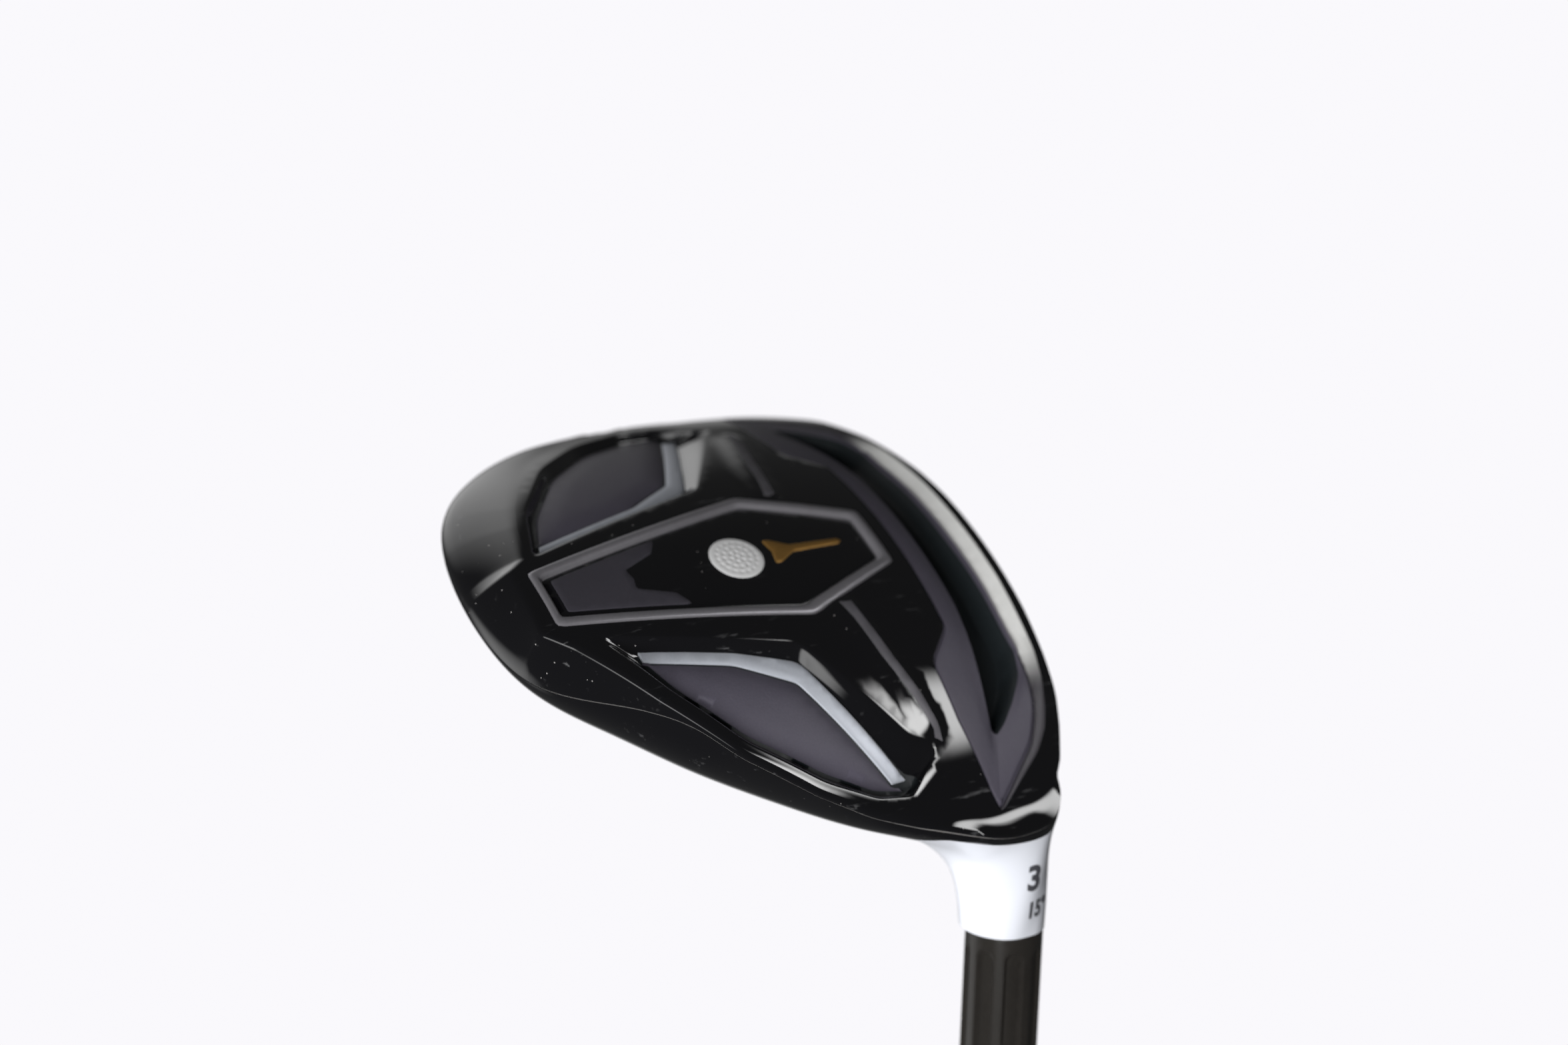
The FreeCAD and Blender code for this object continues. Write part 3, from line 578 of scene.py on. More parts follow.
HOSEL = satin("hosel_black", (0.010, 0.009, 0.008), (0.030, 0.027, 0.024), 0.26, 0.8, 0.006, coat=0.4)
FACE = brushed("face_steel", (0.08, 0.08, 0.085), (0.17, 0.17, 0.18), 0.36, (0.06, 1, 1), 0.02)
MARKS = satin("grey_marking", (0.05, 0.05, 0.06), (0.09, 0.09, 0.10), 0.4, 0.3, 0.004)
GROOVE = satin("joint_grey", (0.10, 0.10, 0.10), (0.22, 0.21, 0.20), 0.6, 0.4, 0.02)
GRAPHITE = satin("graphite_shaft", (0.016, 0.017, 0.019), (0.034, 0.036, 0.040), 0.2, 0.25, 0.004,
                 coat=1.0)
BAND = satin("shaft_band_silver", (0.42, 0.44, 0.47), (0.60, 0.62, 0.66), 0.3, 0.4, 0.004, metal=0.6,
             coat=0.6)
RUBBER = satin("grip_rubber", (0.012, 0.012, 0.013), (0.030, 0.030, 0.031), 0.62, 0.3, 0.05)
BRASS = brushed("brass", (0.45, 0.30, 0.10), (0.75, 0.55, 0.22), 0.25)
RESIN = satin("cured_resin", (0.50, 0.42, 0.25), (0.72, 0.62, 0.40), 0.3, 1.2, 0.03)
FILM = satin("adhesive_film", (0.55, 0.53, 0.48), (0.75, 0.73, 0.68), 0.5, 0.8, 0.02)
TAPE = satin("paper_tape", (0.55, 0.50, 0.40), (0.74, 0.69, 0.58), 0.7, 0.5, 0.03)
PLUG = satin("plug_rubber", (0.06, 0.06, 0.06), (0.12, 0.12, 0.12), 0.6, 0.5, 0.02)

# ---- upper shell, face and neck


GROOVE_LOW, GROOVE_PITCH, GROOVE_DEPTH, GROOVE_MIDDLE = 9.5, 3.6, 0.22, -3.0
PAINT_BACK, PAINT_OVER_JOINT = 27.0, 1.6
FRONT_DEPTH, UPPER_WALL = 1.3, 0.8
NEAR_R, NEAR_FROM = 16.0, 14.0


def face_measure(p):
    """Above zero inside the face plate's outline, seen from the front."""
    x, z = p[:, 0], p[:, 2]
    top = FACE_TOP - (x + 2.0) ** 2 / 230.0
    bottom = sole_z(np.clip(x, -50, 50), LEADING_Y) + 2.4
    out = smooth_max(z - top, bottom - z, 3.0)
    return -smooth_max(out, np.abs(x - (FACE_TOE + FACE_HEEL) / 2) - (FACE_HEEL - FACE_TOE) / 2, 6.0)


def on_front(p):
    """Above zero on the front of the head, clear of the neck."""
    _, side, back = axis_parts(*p.T)
    depth = p[:, 1] - face_y(p[:, 0], p[:, 2])
    return np.minimum(FRONT_DEPTH - depth, np.hypot(side, back) - HOSEL_R - 4.0)


def paint_line(p):
    """Above zero on the white front of the crown, the neck and the skirt beside it."""
    x, y, z = p.T
    back = PAINT_BACK - (x / 54.0) ** 2 * 4.0 + 1.2 * np.sin(x / 9.0)
    skirt = z - joint_z(x, y) - PAINT_OVER_JOINT - 5.0 * smooth_step(19.0, PAINT_BACK, y)
    return np.minimum(back - y, skirt)


def near_neck(p):
    """Above zero close to the shaft axis, above the sole."""
    along, side, back = axis_parts(*p.T)
    return np.minimum(NEAR_R - np.hypot(side, back), along - NEAR_FROM)


def off(measure):
    """The other side of a measure's line."""
    return lambda p: -measure(p)


def upper_pieces():
    """Crown, its white band, the neck, and the frame round the face, all cut from one surface."""
    verts, quads = surface_net((-60, -18, 4), (80, 88, 48), 1.0)
    verts, tris = settled(verts), np.concatenate([quads[:, [0, 1, 2]], quads[:, [0, 2, 3]]])
    verts, tris = clipped(verts, tris, lambda p: p[:, 2] - joint_z(p[:, 0], p[:, 1]) - SEAM_GAP / 2)
    verts, tris = clipped(verts, tris, lambda p: WHITE_END - axis_parts(*p.T)[0])
    behind = off(on_front)
    for name, measures, material, node, slot in (
            ("face_frame", [on_front, lambda p: -face_measure(p) - 0.12], BLACK, "face_plate",
             "satin_steel"),
            ("crown_shell", [behind, off(near_neck), off(paint_line)], CROWN_BLACK, "crown",
             "gloss_black_paint"),
            ("crown_white_band", [behind, off(near_neck), paint_line], WHITE, "crown", None),
            ("hosel_neck", [behind, near_neck, paint_line], WHITE, "head_body", None),
            ("heel_black_skirt", [behind, near_neck, off(paint_line)], BLACK, "head_body",
             "gloss_black_paint")):
        v, t = verts, tris
        for measure in measures:
            v, t = clipped(v, t, measure)
        v, f, n = thickened(v, t.tolist(), field_normals(v), UPPER_WALL)
        make(name, v, f, material, node, n)


upper_pieces()


def face_plate():
    """Face with fine score lines; rows follow them so each groove has real walls."""
    grooves = GROOVE_LOW + GROOVE_PITCH * np.arange(6)
    rows = [r for r in np.arange(3.0, 34.0, 0.7) if min(abs(r - grooves)) >= 0.44]
    rows += [groove + d for groove in grooves for d in (-0.45, -0.22, 0.22, 0.45)]
    x, z = np.meshgrid(np.linspace(FACE_TOE - 2, FACE_HEEL + 2, 110), np.array(sorted(rows)))
    sideways = np.abs(x - GROOVE_MIDDLE)
    in_groove = np.min(np.abs(z[..., None] - grooves), axis=-1) < 0.3
    deep = in_groove * smooth_step(26.5, 25.0, sideways) * (1.0 - smooth_step(9.5, 8.0, sideways))
    y = face_y(x, z) + GROOVE_DEPTH * deep - 0.04
    verts = np.stack([x, y, z], -1).reshape(-1, 3)
    n, m = x.shape
    k = (np.arange(n - 1)[:, None] * m + np.arange(m - 1)).ravel()
    tris = np.concatenate([np.stack([k, k + 1, k + m + 1], 1), np.stack([k, k + m + 1, k + m], 1)])
    verts, tris = clipped(verts, tris, face_measure)
    plate("face_plate_lined", verts, tris.tolist(), FORWARD, UPPER_WALL, FACE, "face_plate", 25.0)


face_plate()

# ---- openings in the sole

MIRROR = np.array([-1.0, 1.0])


def nearest(points, targets):
    """Index of the target nearest to each plan point."""
    return [int(np.argmin(np.hypot(*(targets - p).T))) for p in points]


def between(corners, anchors, counts):
    """An open run of points, with a set number between the anchor corners."""
    line = dense(filleted(corners, closed=False), 0.1, closed=False)
    line = np.vstack([line, np.array(corners[-1][:2], float)])
    length = np.concatenate([[0], np.cumsum(np.linalg.norm(np.diff(line, axis=0), axis=1))])
    marks = length[nearest([corners[a][:2] for a in anchors], line)]
    stations = np.concatenate([np.linspace(a, b, n, endpoint=False)
                               for a, b, n in zip(marks, marks[1:], counts)] + [marks[-1:]])
    return np.stack([np.interp(stations, length, line[:, k]) for k in (0, 1)], 1)


def whole(half):
    """A closed outline from its heel half, which starts and ends on the middle line."""
    return np.vstack([half, (half[1:-1] * MIRROR)[::-1]])


# Front opening, heel half: back edge, notch, tip, then along the leading edge.
OPENING_BACK = [(0, 7.6, 0), (21.0, 7.6, 2.0), (26.3, 12.9, 1.5), (28.2, 13.2, 1.0), (36.7, 12.6, 9.0),
                (47.9, 10.2, 6.0)]
OPENING = OPENING_BACK + [(51.0, 9.0, 0.8), (45.8, 1.6, 12.0), (43.6, -1.6, 8.0), (40.4, -4.5, 6.0),
                          (37.1, -6.1, 8.0), (32.7, -7.6, 12.0), (27.4, -8.5, 12.0), (13.0, -8.9, 30.0),
                          (0, -8.8, 0)]
BAND_INNER = OPENING_BACK + [(50.7, 9.1, 0.8), (45.2, 2.6, 12.0), (42.2, -1.0, 8.0), (38.6, -3.3, 6.0),
                             (35.6, -4.6, 8.0), (31.4, -5.7, 12.0), (27.0, -6.3, 12.0), (13.0, -6.6, 30.0),
                             (0, -6.4, 0)]
MOUTH = [(0, 2.8, 0), (17.0, 2.8, 10.0), (24.0, 3.5, 20.0), (30.0, 4.5, 20.0), (38.9, 6.2, 0.6),
         (39.8, 5.4, 0.8), (38.1, 2.9, 8.0), (35.0, -0.2, 12.0), (31.0, -3.6, 10.0), (26.0, -5.5, 8.0),
         (13.0, -5.9, 20.0), (0, -5.9, 0)]
BACK_RUN, FRONT_RUN = (22, 7, 22), (16, 20, 30)
opening = between(OPENING, (0, 1, 3, 6, 9, 12, 14), BACK_RUN + FRONT_RUN)
band_inner = between(BAND_INNER, (0, 1, 3, 6, 9, 12, 14), BACK_RUN + FRONT_RUN)
mouth = between(MOUTH, (0, 1, 3, 5, 7, 9, 11), BACK_RUN + FRONT_RUN)
TIP = sum(BACK_RUN)

# Wings, from the back corner towards the badge, the front corner, and round the outer rim.
HEEL_WING = [(9.2, 69.0, 0.8), (15.9, 46.3, 6), (18.6, 36.0, 4), (36.5, 22.6, 6), (40.0, 17.6, 1.5),
             (46.2, 25.0, 2), (45.4, 31.5, 8), (41.5, 40.0, 20), (33.0, 51.3, 20), (22.0, 60.5, 20)]
HEEL_FLOOR = [(13.2, 62.6, 0.8), (17.0, 46.2, 5), (21.0, 36.0, 3.5), (41.6, 24.6, 3), (42.6, 21.4, 1.2),
              (44.4, 25.5, 2), (43.4, 30.8, 8), (39.2, 38.8, 20), (31.0, 49.8, 20), (21.0, 58.4, 20)]
TOE_WING = [(-9.0, 70.8, 0.8), (-15.9, 46.3, 6), (-18.6, 35.5, 4), (-36.5, 22.6, 6), (-42.0, 17.5, 1.5),
            (-48.0, 26.0, 2), (-48.6, 33.0, 8), (-45.0, 44.0, 20), (-36.0, 56.0, 20), (-22.0, 66.3, 20)]
TOE_FLOOR = [(-12.6, 67.8, 0.8), (-17.0, 46.2, 5), (-21.0, 36.0, 3.5), (-42.5, 24.4, 3),
             (-43.6, 21.3, 1.2), (-46.2, 26.3, 2), (-46.6, 33.0, 8), (-43.0, 43.0, 20),
             (-34.3, 54.4, 20), (-21.5, 64.2, 20)]
WING_RUN = (24, 12, 24, 8, 9, 8, 10, 16, 16, 14)


def wing_loop(corners):
    """A wing's outline with the same number of points between every pair of corners."""
    line = filleted(corners)
    closed = dense(np.vstack([line, line[:1]]), 0.08, closed=False)
    at = nearest([c[:2] for c in corners], closed)
    closed = np.roll(closed, -at[0], 0)
    at = [(k - at[0]) % len(closed) for k in at] + [len(closed)]
    closed = np.vstack([closed, closed[:1]])
    picks = np.concatenate([np.linspace(a, b, n, endpoint=False)
                            for a, b, n in zip(at, at[1:], WING_RUN)])
    return np.stack([np.interp(picks, np.arange(len(closed)), closed[:, k]) for k in (0, 1)], 1)


BEZEL_OUTER = [(0, 10.2, 0), (6.6, 10.2, 1.2), (14.7, 30.4, 3.0), (6.3, 73.0, 1.2), (0, 73.0, 0)]
BEZEL_INNER = [(0, 12.6, 0), (4.9, 12.6, 0.8), (12.1, 31.2, 2.4), (4.2, 71.2, 0.8), (0, 71.2, 0)]
BEZEL_RUN = (8, 20, 40, 8)
bezel_outer = whole(between(BEZEL_OUTER, range(5), BEZEL_RUN))
bezel_inner = whole(between(BEZEL_INNER, range(5), BEZEL_RUN))


def lifted(points, depth):
    """Plan points set on the sole surface, moved into the head by depth."""
    p = np.asarray(points, float)
    return np.stack([p[:, 0], p[:, 1], sole_z(p[:, 0], p[:, 1], depth)], 1)


def towards(outer, inner, amount):
    return outer + (inner - outer) * amount


def anticlockwise(loop):
    """Direction of travel of a closed loop in plan."""
    x, y = loop[:, 0], loop[:, 1]
    return np.sum(x * np.roll(y, -1) - np.roll(x, -1) * y) > 0


def inset(loop, distance):
    """A closed loop moved sideways; positive goes inwards for either direction of travel."""
    ahead = np.roll(loop, -1, 0) - np.roll(loop, 1, 0)
    ahead /= np.maximum(np.linalg.norm(ahead, axis=1), 1e-9)[:, None]
    left = np.stack([-ahead[:, 1], ahead[:, 0]], 1)
    return loop + left * distance * (1 if anticlockwise(loop) else -1)

# ---- sole shell


# Grey satin ribs: (lower edge, upper edge) from the badge's shoulder to the front corner of the wing.
RIB_BACK = [(13.4, 25.4), (16.9, 24.2), (24.2, 22.5), (30.7, 20.2), (37.5, 17.9), (39.0, 17.0)]
RIB_FRONT = [(12.5, 23.4), (18.1, 22.1), (25.2, 20.3), (31.7, 18.0), (36.5, 16.9), (38.6, 16.6)]
RIB_RISE, RIB_START, RIB_END = 0.5, 13.2, 38.8
RIB_BACK_RUN, RIB_FRONT_RUN = 3.5, 1.2


def inside(points, loop):
    """Even-odd test of plan points against a closed loop."""
    x, y = points[:, 0][:, None], points[:, 1][:, None]
    a, b = np.asarray(loop)[None, :, :], np.roll(np.asarray(loop), -1, 0)[None, :, :]
    spans = (a[..., 1] > y) != (b[..., 1] > y)
    rise = np.where(b[..., 1] == a[..., 1], 1.0, b[..., 1] - a[..., 1])
    at = a[..., 0] + (y - a[..., 1]) * (b[..., 0] - a[..., 0]) / rise
    return (spans & (x < at)).sum(1) % 2 == 1


def gap_to(points, loop):
    """Distance from plan points to a closed loop."""
    a, b = np.asarray(loop), np.roll(np.asarray(loop), -1, 0)
    best = np.full(len(points), 1e9)
    for p, q in zip(a, b):
        d = q - p
        t = np.clip(((points - p) @ d) / max(d @ d, 1e-9), 0, 1)
        best = np.minimum(best, np.hypot(*(points - p - t[:, None] * d).T))
    return best


def rib_edges(points):
    """Distance of each point from the middle line, and where a rib begins and ends there."""
    x = np.abs(points[:, 0])
    return x, np.interp(x, *np.array(RIB_BACK).T), np.interp(x, *np.array(RIB_FRONT).T)


def rib_height(points):
    """The field rises to each rib from behind and drops more steeply in front of it."""
    (x, back, front), y = rib_edges(points), points[:, 1]
    ends = smooth_step(11.5, 14.0, x) * smooth_step(39.8, 36.0, x)
    rise = smooth_step(back + RIB_BACK_RUN, back, y) * smooth_step(front - RIB_FRONT_RUN, front, y)
    return RIB_RISE * ends * rise


def triangulated(boundary, holes, spacing, lines=()):
    """Plan points and triangles of a flat region; the triangles look down and follow the given lines."""
    loops = [np.asarray(boundary)] + [np.asarray(h) for h in holes]
    points, edges, start = [], [], 0
    for loop in loops:
        n = len(loop)
        points.append(loop)
        edges += [(start + i, start + (i + 1) % n) for i in range(n)]
        start += n
    for line in lines:
        points.append(line)
        edges += [(start + i, start + i + 1) for i in range(len(line) - 1)]
        start += len(line)
    low, high = loops[0].min(0), loops[0].max(0)
    rows = np.arange(low[1], high[1], spacing * 0.866)
    fill = np.array([(x + (k % 2) * spacing / 2, y) for k, y in enumerate(rows)
                     for x in np.arange(low[0], high[0], spacing)])
    fill = fill[inside(fill, loops[0])]
    for h in loops[1:]:
        fill = fill[~inside(fill, h)]
    for loop in loops + [np.asarray(line) for line in lines]:
        fill = fill[gap_to(fill, loop) > 0.45 * spacing]
    everything = np.vstack(points + [fill])
    result = delaunay_2d_cdt([Vector(p) for p in everything], edges, [], 0, 1e-5)
    flat, tris = np.array([tuple(v) for v in result[0]]), np.array(result[2])
    middle = flat[tris].mean(1)
    keep = inside(middle, loops[0])
    for h in loops[1:]:
        keep &= ~inside(middle, h)
    tris = tris[keep]
    area = np.cross(flat[tris[:, 1]] - flat[tris[:, 0]], flat[tris[:, 2]] - flat[tris[:, 0]])
    tris[area > 0] = tris[area > 0][:, ::-1]
    return flat, tris


WALL_STEP = (0.0, 0.08, 0.18, 0.3, 0.5, 0.75, 0.92, 1.0)
WALL_DROP = (0.0, 0.015, 0.07, 0.18, 0.44, 0.78, 0.97, 1.0)
WING_DEPTH, PAD_DEPTH = 2.4, 0.22
SOLE_ROLL = 0.55


def wing_rings(top, floor):
    """Wall of a wing recess from its lip to its floor, with a soft rounded lip."""
    t, f = wing_loop(top), wing_loop(floor)
    return [lifted(towards(t, f, s), WING_DEPTH * d) for s, d in zip(WALL_STEP, WALL_DROP)]


def skirt_lines(step):
    """Points along the sole's edge, their directions from the head's middle and their distances."""
    line = dense(SOLE_LINE, step)
    direction = line - HEAD_MIDDLE
    radius = np.hypot(*direction.T)
    return line, direction / radius[:, None], radius


def skirt_loop(direction, radius, z, sink=0.0):
    """A loop on the skirt, one point in each direction at its own height."""
    flat = np.column_stack([direction, 0 * radius])
    foot = np.column_stack([0 * direction + HEAD_MIDDLE, z])
    return foot + flat * (skin(foot, flat, radius * 0.8, radius * 1.35) - sink)[:, None]


def joint_heights(direction, radius, z, gap=0.0):
    """Height of the joint line in each direction; line and skirt settle on each other."""
    for _ in range(6):
        z = joint_z(*skirt_loop(direction, radius, z)[:, :2].T) - gap
    return z


def skirt_rings():
    """From the field's edge, over the rolled edge of the sole and up the skirt to the joint."""
    line, direction, radius = skirt_lines(0.9)
    foot = sole_z(line[:, 0], line[:, 1]) + SOLE_ROLL
    start = lifted(HEAD_MIDDLE + direction * (radius - 0.8)[:, None], 0.0)
    corner = lifted(HEAD_MIDDLE + direction * (radius - 0.05)[:, None], 0.0)
    end = skirt_loop(direction, radius, foot)
    loops = [start]
    for t in (0.25, 0.5, 0.75, 1.0):
        loops.append((1 - t) ** 2 * start + 2 * t * (1 - t) * corner + t * t * end)
    top = joint_heights(direction, radius, foot, SEAM_GAP / 2)
    for k in range(1, 9):
        loops.append(skirt_loop(direction, radius, foot + (top - foot) * k / 8))
    inward = HEAD_MIDDLE + (loops[-1][:, :2] - HEAD_MIDDLE) * 0.985
    loops.append(np.column_stack([inward, loops[-1][:, 2] + 0.05]))
    return loops


def sole_shell():
    """The black sole: a smooth field with its openings, walls of the wings and the outer skirt."""
    outer, front = skirt_rings(), whole(opening)
    holes = [wing_loop(HEEL_WING), wing_loop(TOE_WING), bezel_outer, front]
    ribs = [dense(np.array(line) * [side, 1], 1.0, closed=False)
            for side in (1, -1) for line in (RIB_BACK, RIB_FRONT)]
    flat, tris = triangulated(outer[0][:, :2], holes, 1.5, ribs)
    field = lifted(flat, 0.0)
    field[:, 2] -= rib_height(flat)
    verts, faces = [field], [tuple(t) for t in tris]
    x, rib_back, rib_front = rib_edges(flat[tris].mean(1))
    y = flat[tris].mean(1)[:, 1]
    on_rib = (y < rib_back) & (y > rib_front) & (x > RIB_START) & (x < RIB_END)
    deep = inset(front, 0.02)
    walls = [outer, wing_rings(HEEL_WING, HEEL_FLOOR), wing_rings(TOE_WING, TOE_FLOOR),
             [lifted(bezel_outer, d) for d in (0.0, 0.5, 1.6)],
             [lifted(front, 0.0), lifted(inset(front, 0.06), 0.08), lifted(deep + (deep - front), 0.5),
              lifted(deep, 2.6)]]
    count = len(field)
    for loops in walls:
        # The first loop is the field's own edge, so it shares the field's vertices.
        v, f = rings(loops)
        n = len(loops[0])
        shift = nearest(loops[0][:, :2], flat) + [count + i for i in range(len(v) - n)]
        verts.append(v[n:])
        count += len(v) - n
        faces += [tuple(shift[i] for i in face) for face in (turned(f) if anticlockwise(loops[0]) else f)]
    piece = make("sole_shell", np.concatenate(verts), faces, [BLACK, RIB], "head_body", sharp=50.0)
    looks = np.zeros(len(faces), int)
    looks[:len(tris)] = on_rib
    piece.data.polygons.foreach_set("material_index", looks)


sole_shell()

# ---- pads and stripes in the wings

# A stripe's corners from the badge's shoulder to the front of the wing; its back end is set by the wing.
STRIPE_OUTER = [(17.0, 46.2, 6), (21.0, 36.0, 4), (42.5, 24.6, 0)]
STRIPE_INNER = [(19.0, 47.0, 8), (24.3, 37.6, 2.5), (42.6, 27.1, 0)]
STRIPE_RUN = (24, 16, 26)
STRIPE_LIFT, GRAIN_LIFT, FLOOR_LIFT = 0.35, 0.30, 0.02
PAD_INSET, SEAM_GAP_X, SEAM_GAP_Y, PAD_END_GAP = 0.55, 0.25, 0.32, 0.4


def slab(name, outline, depth, wall, material, node, crown=0.12, edge=0.25, spacing=1.6):
    """A plate lying in the sole: rounded edge, slightly crowned top, closed underneath."""
    loop = np.asarray(outline, float)
    left = anticlockwise(loop)
    steps = [(0.0, wall), (0.0, edge), (0.3 * edge, 0.3 * edge), (edge, 0.0)]
    top_plan = inset(loop, edge)
    flat, tris = triangulated(top_plan, [], spacing)
    reach = np.minimum(gap_to(flat, top_plan), 3.0)
    top = lifted(flat, depth)
    top[:, 2] -= crown * smooth_step(0.0, 3.0, reach)
    v, f = rings([lifted(inset(loop, run), depth + drop) for run, drop in steps])
    base = len(v) - len(loop)
    # The last loop is the edge of the top, so it shares the top's vertices.
    shift = list(range(base)) + [base + i for i in nearest(top_plan, flat)]
    faces = [tuple(shift[i] for i in face) for face in (turned(f) if left else f)]
    faces = [face for face in faces if len(set(face)) > 2]
    under = tuple(range(len(loop)))
    faces.append(under if left else under[::-1])
    faces += [tuple(t + base) for t in tris]
    make(name, np.concatenate([v[:base], top]), faces, material, node, sharp=50.0)


def wing_parts(side, floor, end_outer, end_inner):
    """Silver stripe, grained pad and floor of one wing; side is 1 at the heel and -1 at the toe."""
    name = "heel" if side > 0 else "toe"
    flip = np.array([side, 1.0])
    outer = between([(*end_outer, 0)] + STRIPE_OUTER, range(4), STRIPE_RUN)
    corners = [(*end_inner, 0)] + STRIPE_INNER
    inner = between(corners, range(4), STRIPE_RUN)
    slab(name + "_stripe_blade", np.vstack([outer, inner[::-1]]) * flip, WING_DEPTH - STRIPE_LIFT, 1.0,
         STRIPE, name + "_stripe", crown=0.0, edge=0.12, spacing=1.1)
    loop = wing_loop(floor)
    run = np.cumsum((0,) + WING_RUN)
    outside = inset(loop, PAD_INSET)[run[5]:run[10]]
    beside = [(x + SEAM_GAP_X, y + SEAM_GAP_Y, r) for x, y, r in corners]
    seam = between(beside, range(4), STRIPE_RUN) * flip
    keep = outside[np.abs(outside[:, 0]) > abs(seam[0][0]) + PAD_END_GAP]
    slab(name + "_grained_pad", np.vstack([seam, keep]), WING_DEPTH - GRAIN_LIFT, 0.9, PAD, name + "_pad",
         crown=0.35, edge=0.3)
    slab(name + "_wing_floor", inset(loop, -0.3), WING_DEPTH - FLOOR_LIFT, 0.8, SLOT, "head_body",
         crown=0.0, edge=0.1, spacing=2.5)


wing_parts(1, HEEL_FLOOR, (12.8, 61.6), (14.9, 61.3))
wing_parts(-1, TOE_FLOOR, (11.4, 67.6), (13.6, 66.9))

# ---- badge


# (share of the way from the outer to the inner outline, depth) round the bezel's section.
BEZEL_SECTION = [(0.02, 1.6), (0.02, 0.12), (0.10, -0.10), (0.20, -0.22), (0.34, -0.26), (0.60, -0.24),
                 (0.74, -0.10), (0.90, 0.30), (0.99, 0.62), (0.99, 1.6)]
INLAY_HALF = [(0, 56.9, 0), (2.2, 57.4, 0.6), (4.7, 51.5, 0.6), (7.7, 49.6, 0.5), (3.6, 69.9, 0.5),
              (0, 69.9, 0)]
TEE_HALF = [(0, 17.4, 0), (0.6, 18.0, 0.3), (0.85, 27.4, 1.5), (2.7, 30.6, 0.8), (2.7, 31.8, 0.3),
            (0, 31.2, 0)]


def badge():
    """Six-sided bezel, enamel plate, satin inlay, and two plain emblems."""
    verts, faces = torus([lifted(towards(bezel_outer, bezel_inner, s), d) for s, d in BEZEL_SECTION])
    make("badge_bezel_rim", verts, turned(faces), BEZEL, "badge_bezel", sharp=24.0)
    slab("badge_enamel_plate", towards(bezel_outer, bezel_inner, 0.97), 0.5, 1.0, PLATE_BLACK,
         "badge_plate", crown=0.1, edge=0.15)
    slab("badge_satin_inlay", whole(between(INLAY_HALF, range(6), (4, 10, 6, 26, 6))), 0.32, 0.4, INLAY,
         "badge_inlay", crown=0.0, edge=0.12, spacing=1.2)
    ball_emblem((0.0, 38.0), 4.7)
    slab("badge_tee", whole(between(TEE_HALF, range(6), (3, 16, 8, 4, 6))), 0.2, 0.4, GOLD,
         "emblem_tee", crown=0.15, edge=0.14, spacing=0.7)


def circle(count, radius=1.0, start=0.0):
    """Plan points evenly spaced round a circle."""
    turn = start + np.arange(count) * 2 * math.pi / count
    return radius * np.stack([np.cos(turn), np.sin(turn)], 1)


def ball_emblem(centre, radius):
    """A shallow dimpled disc: a golf ball in low relief."""
    pitch, rise, dent = 1.16, 0.20, 0.10
    dimples = np.vstack([np.zeros((1, 2))] + [circle(6 * k, k * pitch, 0.3 * k) for k in (1, 2, 3)])
    loops = [lifted(circle(72, radius) + centre, 0.7)]
    for r in np.linspace(radius, 0.15, 34):
        p = circle(72, r)
        near = np.hypot(p[:, None, 0] - dimples[:, 0], p[:, None, 1] - dimples[:, 1]).min(1)
        dome = rise * math.sqrt(max(1 - (r / radius) ** 2, 0.0))
        loops.append(lifted(p + centre, 0.36 - dome + dent * smooth_step(0.46, 0.18, near)))
    verts, faces = rings(loops, cap_first=True, cap_last=True)
    make("badge_ball", verts, turned(faces), ENAMEL, "emblem_ball", sharp=60.0)


badge()

# ---- front pad, slot and its bright edge


def band_depth(points):
    """Depth of the bright edge's inner line: deep in the middle, shallow towards the tips."""
    return PAD_DEPTH + 1.6 * smooth_step(36.0, 20.0, np.abs(points[:, 0]))


def front_pad():
    """Pad behind the leading edge, rolled down into the mouth of the slot; returns the mouth's depth."""
    rim = whole(np.vstack([opening[:TIP + 1], band_inner[TIP + 1:]]))
    depth = np.concatenate([np.full(TIP + 1, PAD_DEPTH), band_depth(band_inner[TIP + 1:])])
    depth = np.concatenate([depth, depth[1:-1][::-1]])
    section = [(0.12, 1.6), (0.12, 0.45), (0.30, 0.45), (0.42, 0.42), (0.55, 0.06), (0.75, 0.0),
               (1.0, 0.0)]
    loops = [lifted(inset(rim, run), depth + drop) for run, drop in section]
    front_side = np.minimum(depth / 1.8, 1.0)
    end = 0.30 * (1 - front_side) + 2.0 * front_side
    for s in (0.25, 0.5, 0.7, 0.85, 1.0):
        roll = 0.2 * smooth_step(0.55, 1.0, s)
        loops.append(lifted(towards(inset(rim, 1.0), whole(mouth), s), depth * (1 - s) + end * s + roll))
    verts, faces = rings(loops)
    plate("front_pad_skin", verts, faces, DOWNWARD, 0.5, PAD, "front_pad", 45.0)
    return end + 0.2


def slot_lining(edge_depth):
    """Walls and floor of the slot, from the mouth inwards."""
    floor = 5.4
    steps = [(0.0, 0.0), (0.25, 0.05), (0.7, 0.2), (1.2, 0.48), (1.6, 0.76), (2.0, 0.94), (2.4, 1.0)]
    loops = [lifted(inset(whole(mouth), run), towards(edge_depth, floor, share)) for run, share in steps]
    verts, faces = rings(loops, cap_last=True)
    plate("slot_lining", verts, faces, DOWNWARD, 0.4, SLOT, "slot_filler", 60.0)


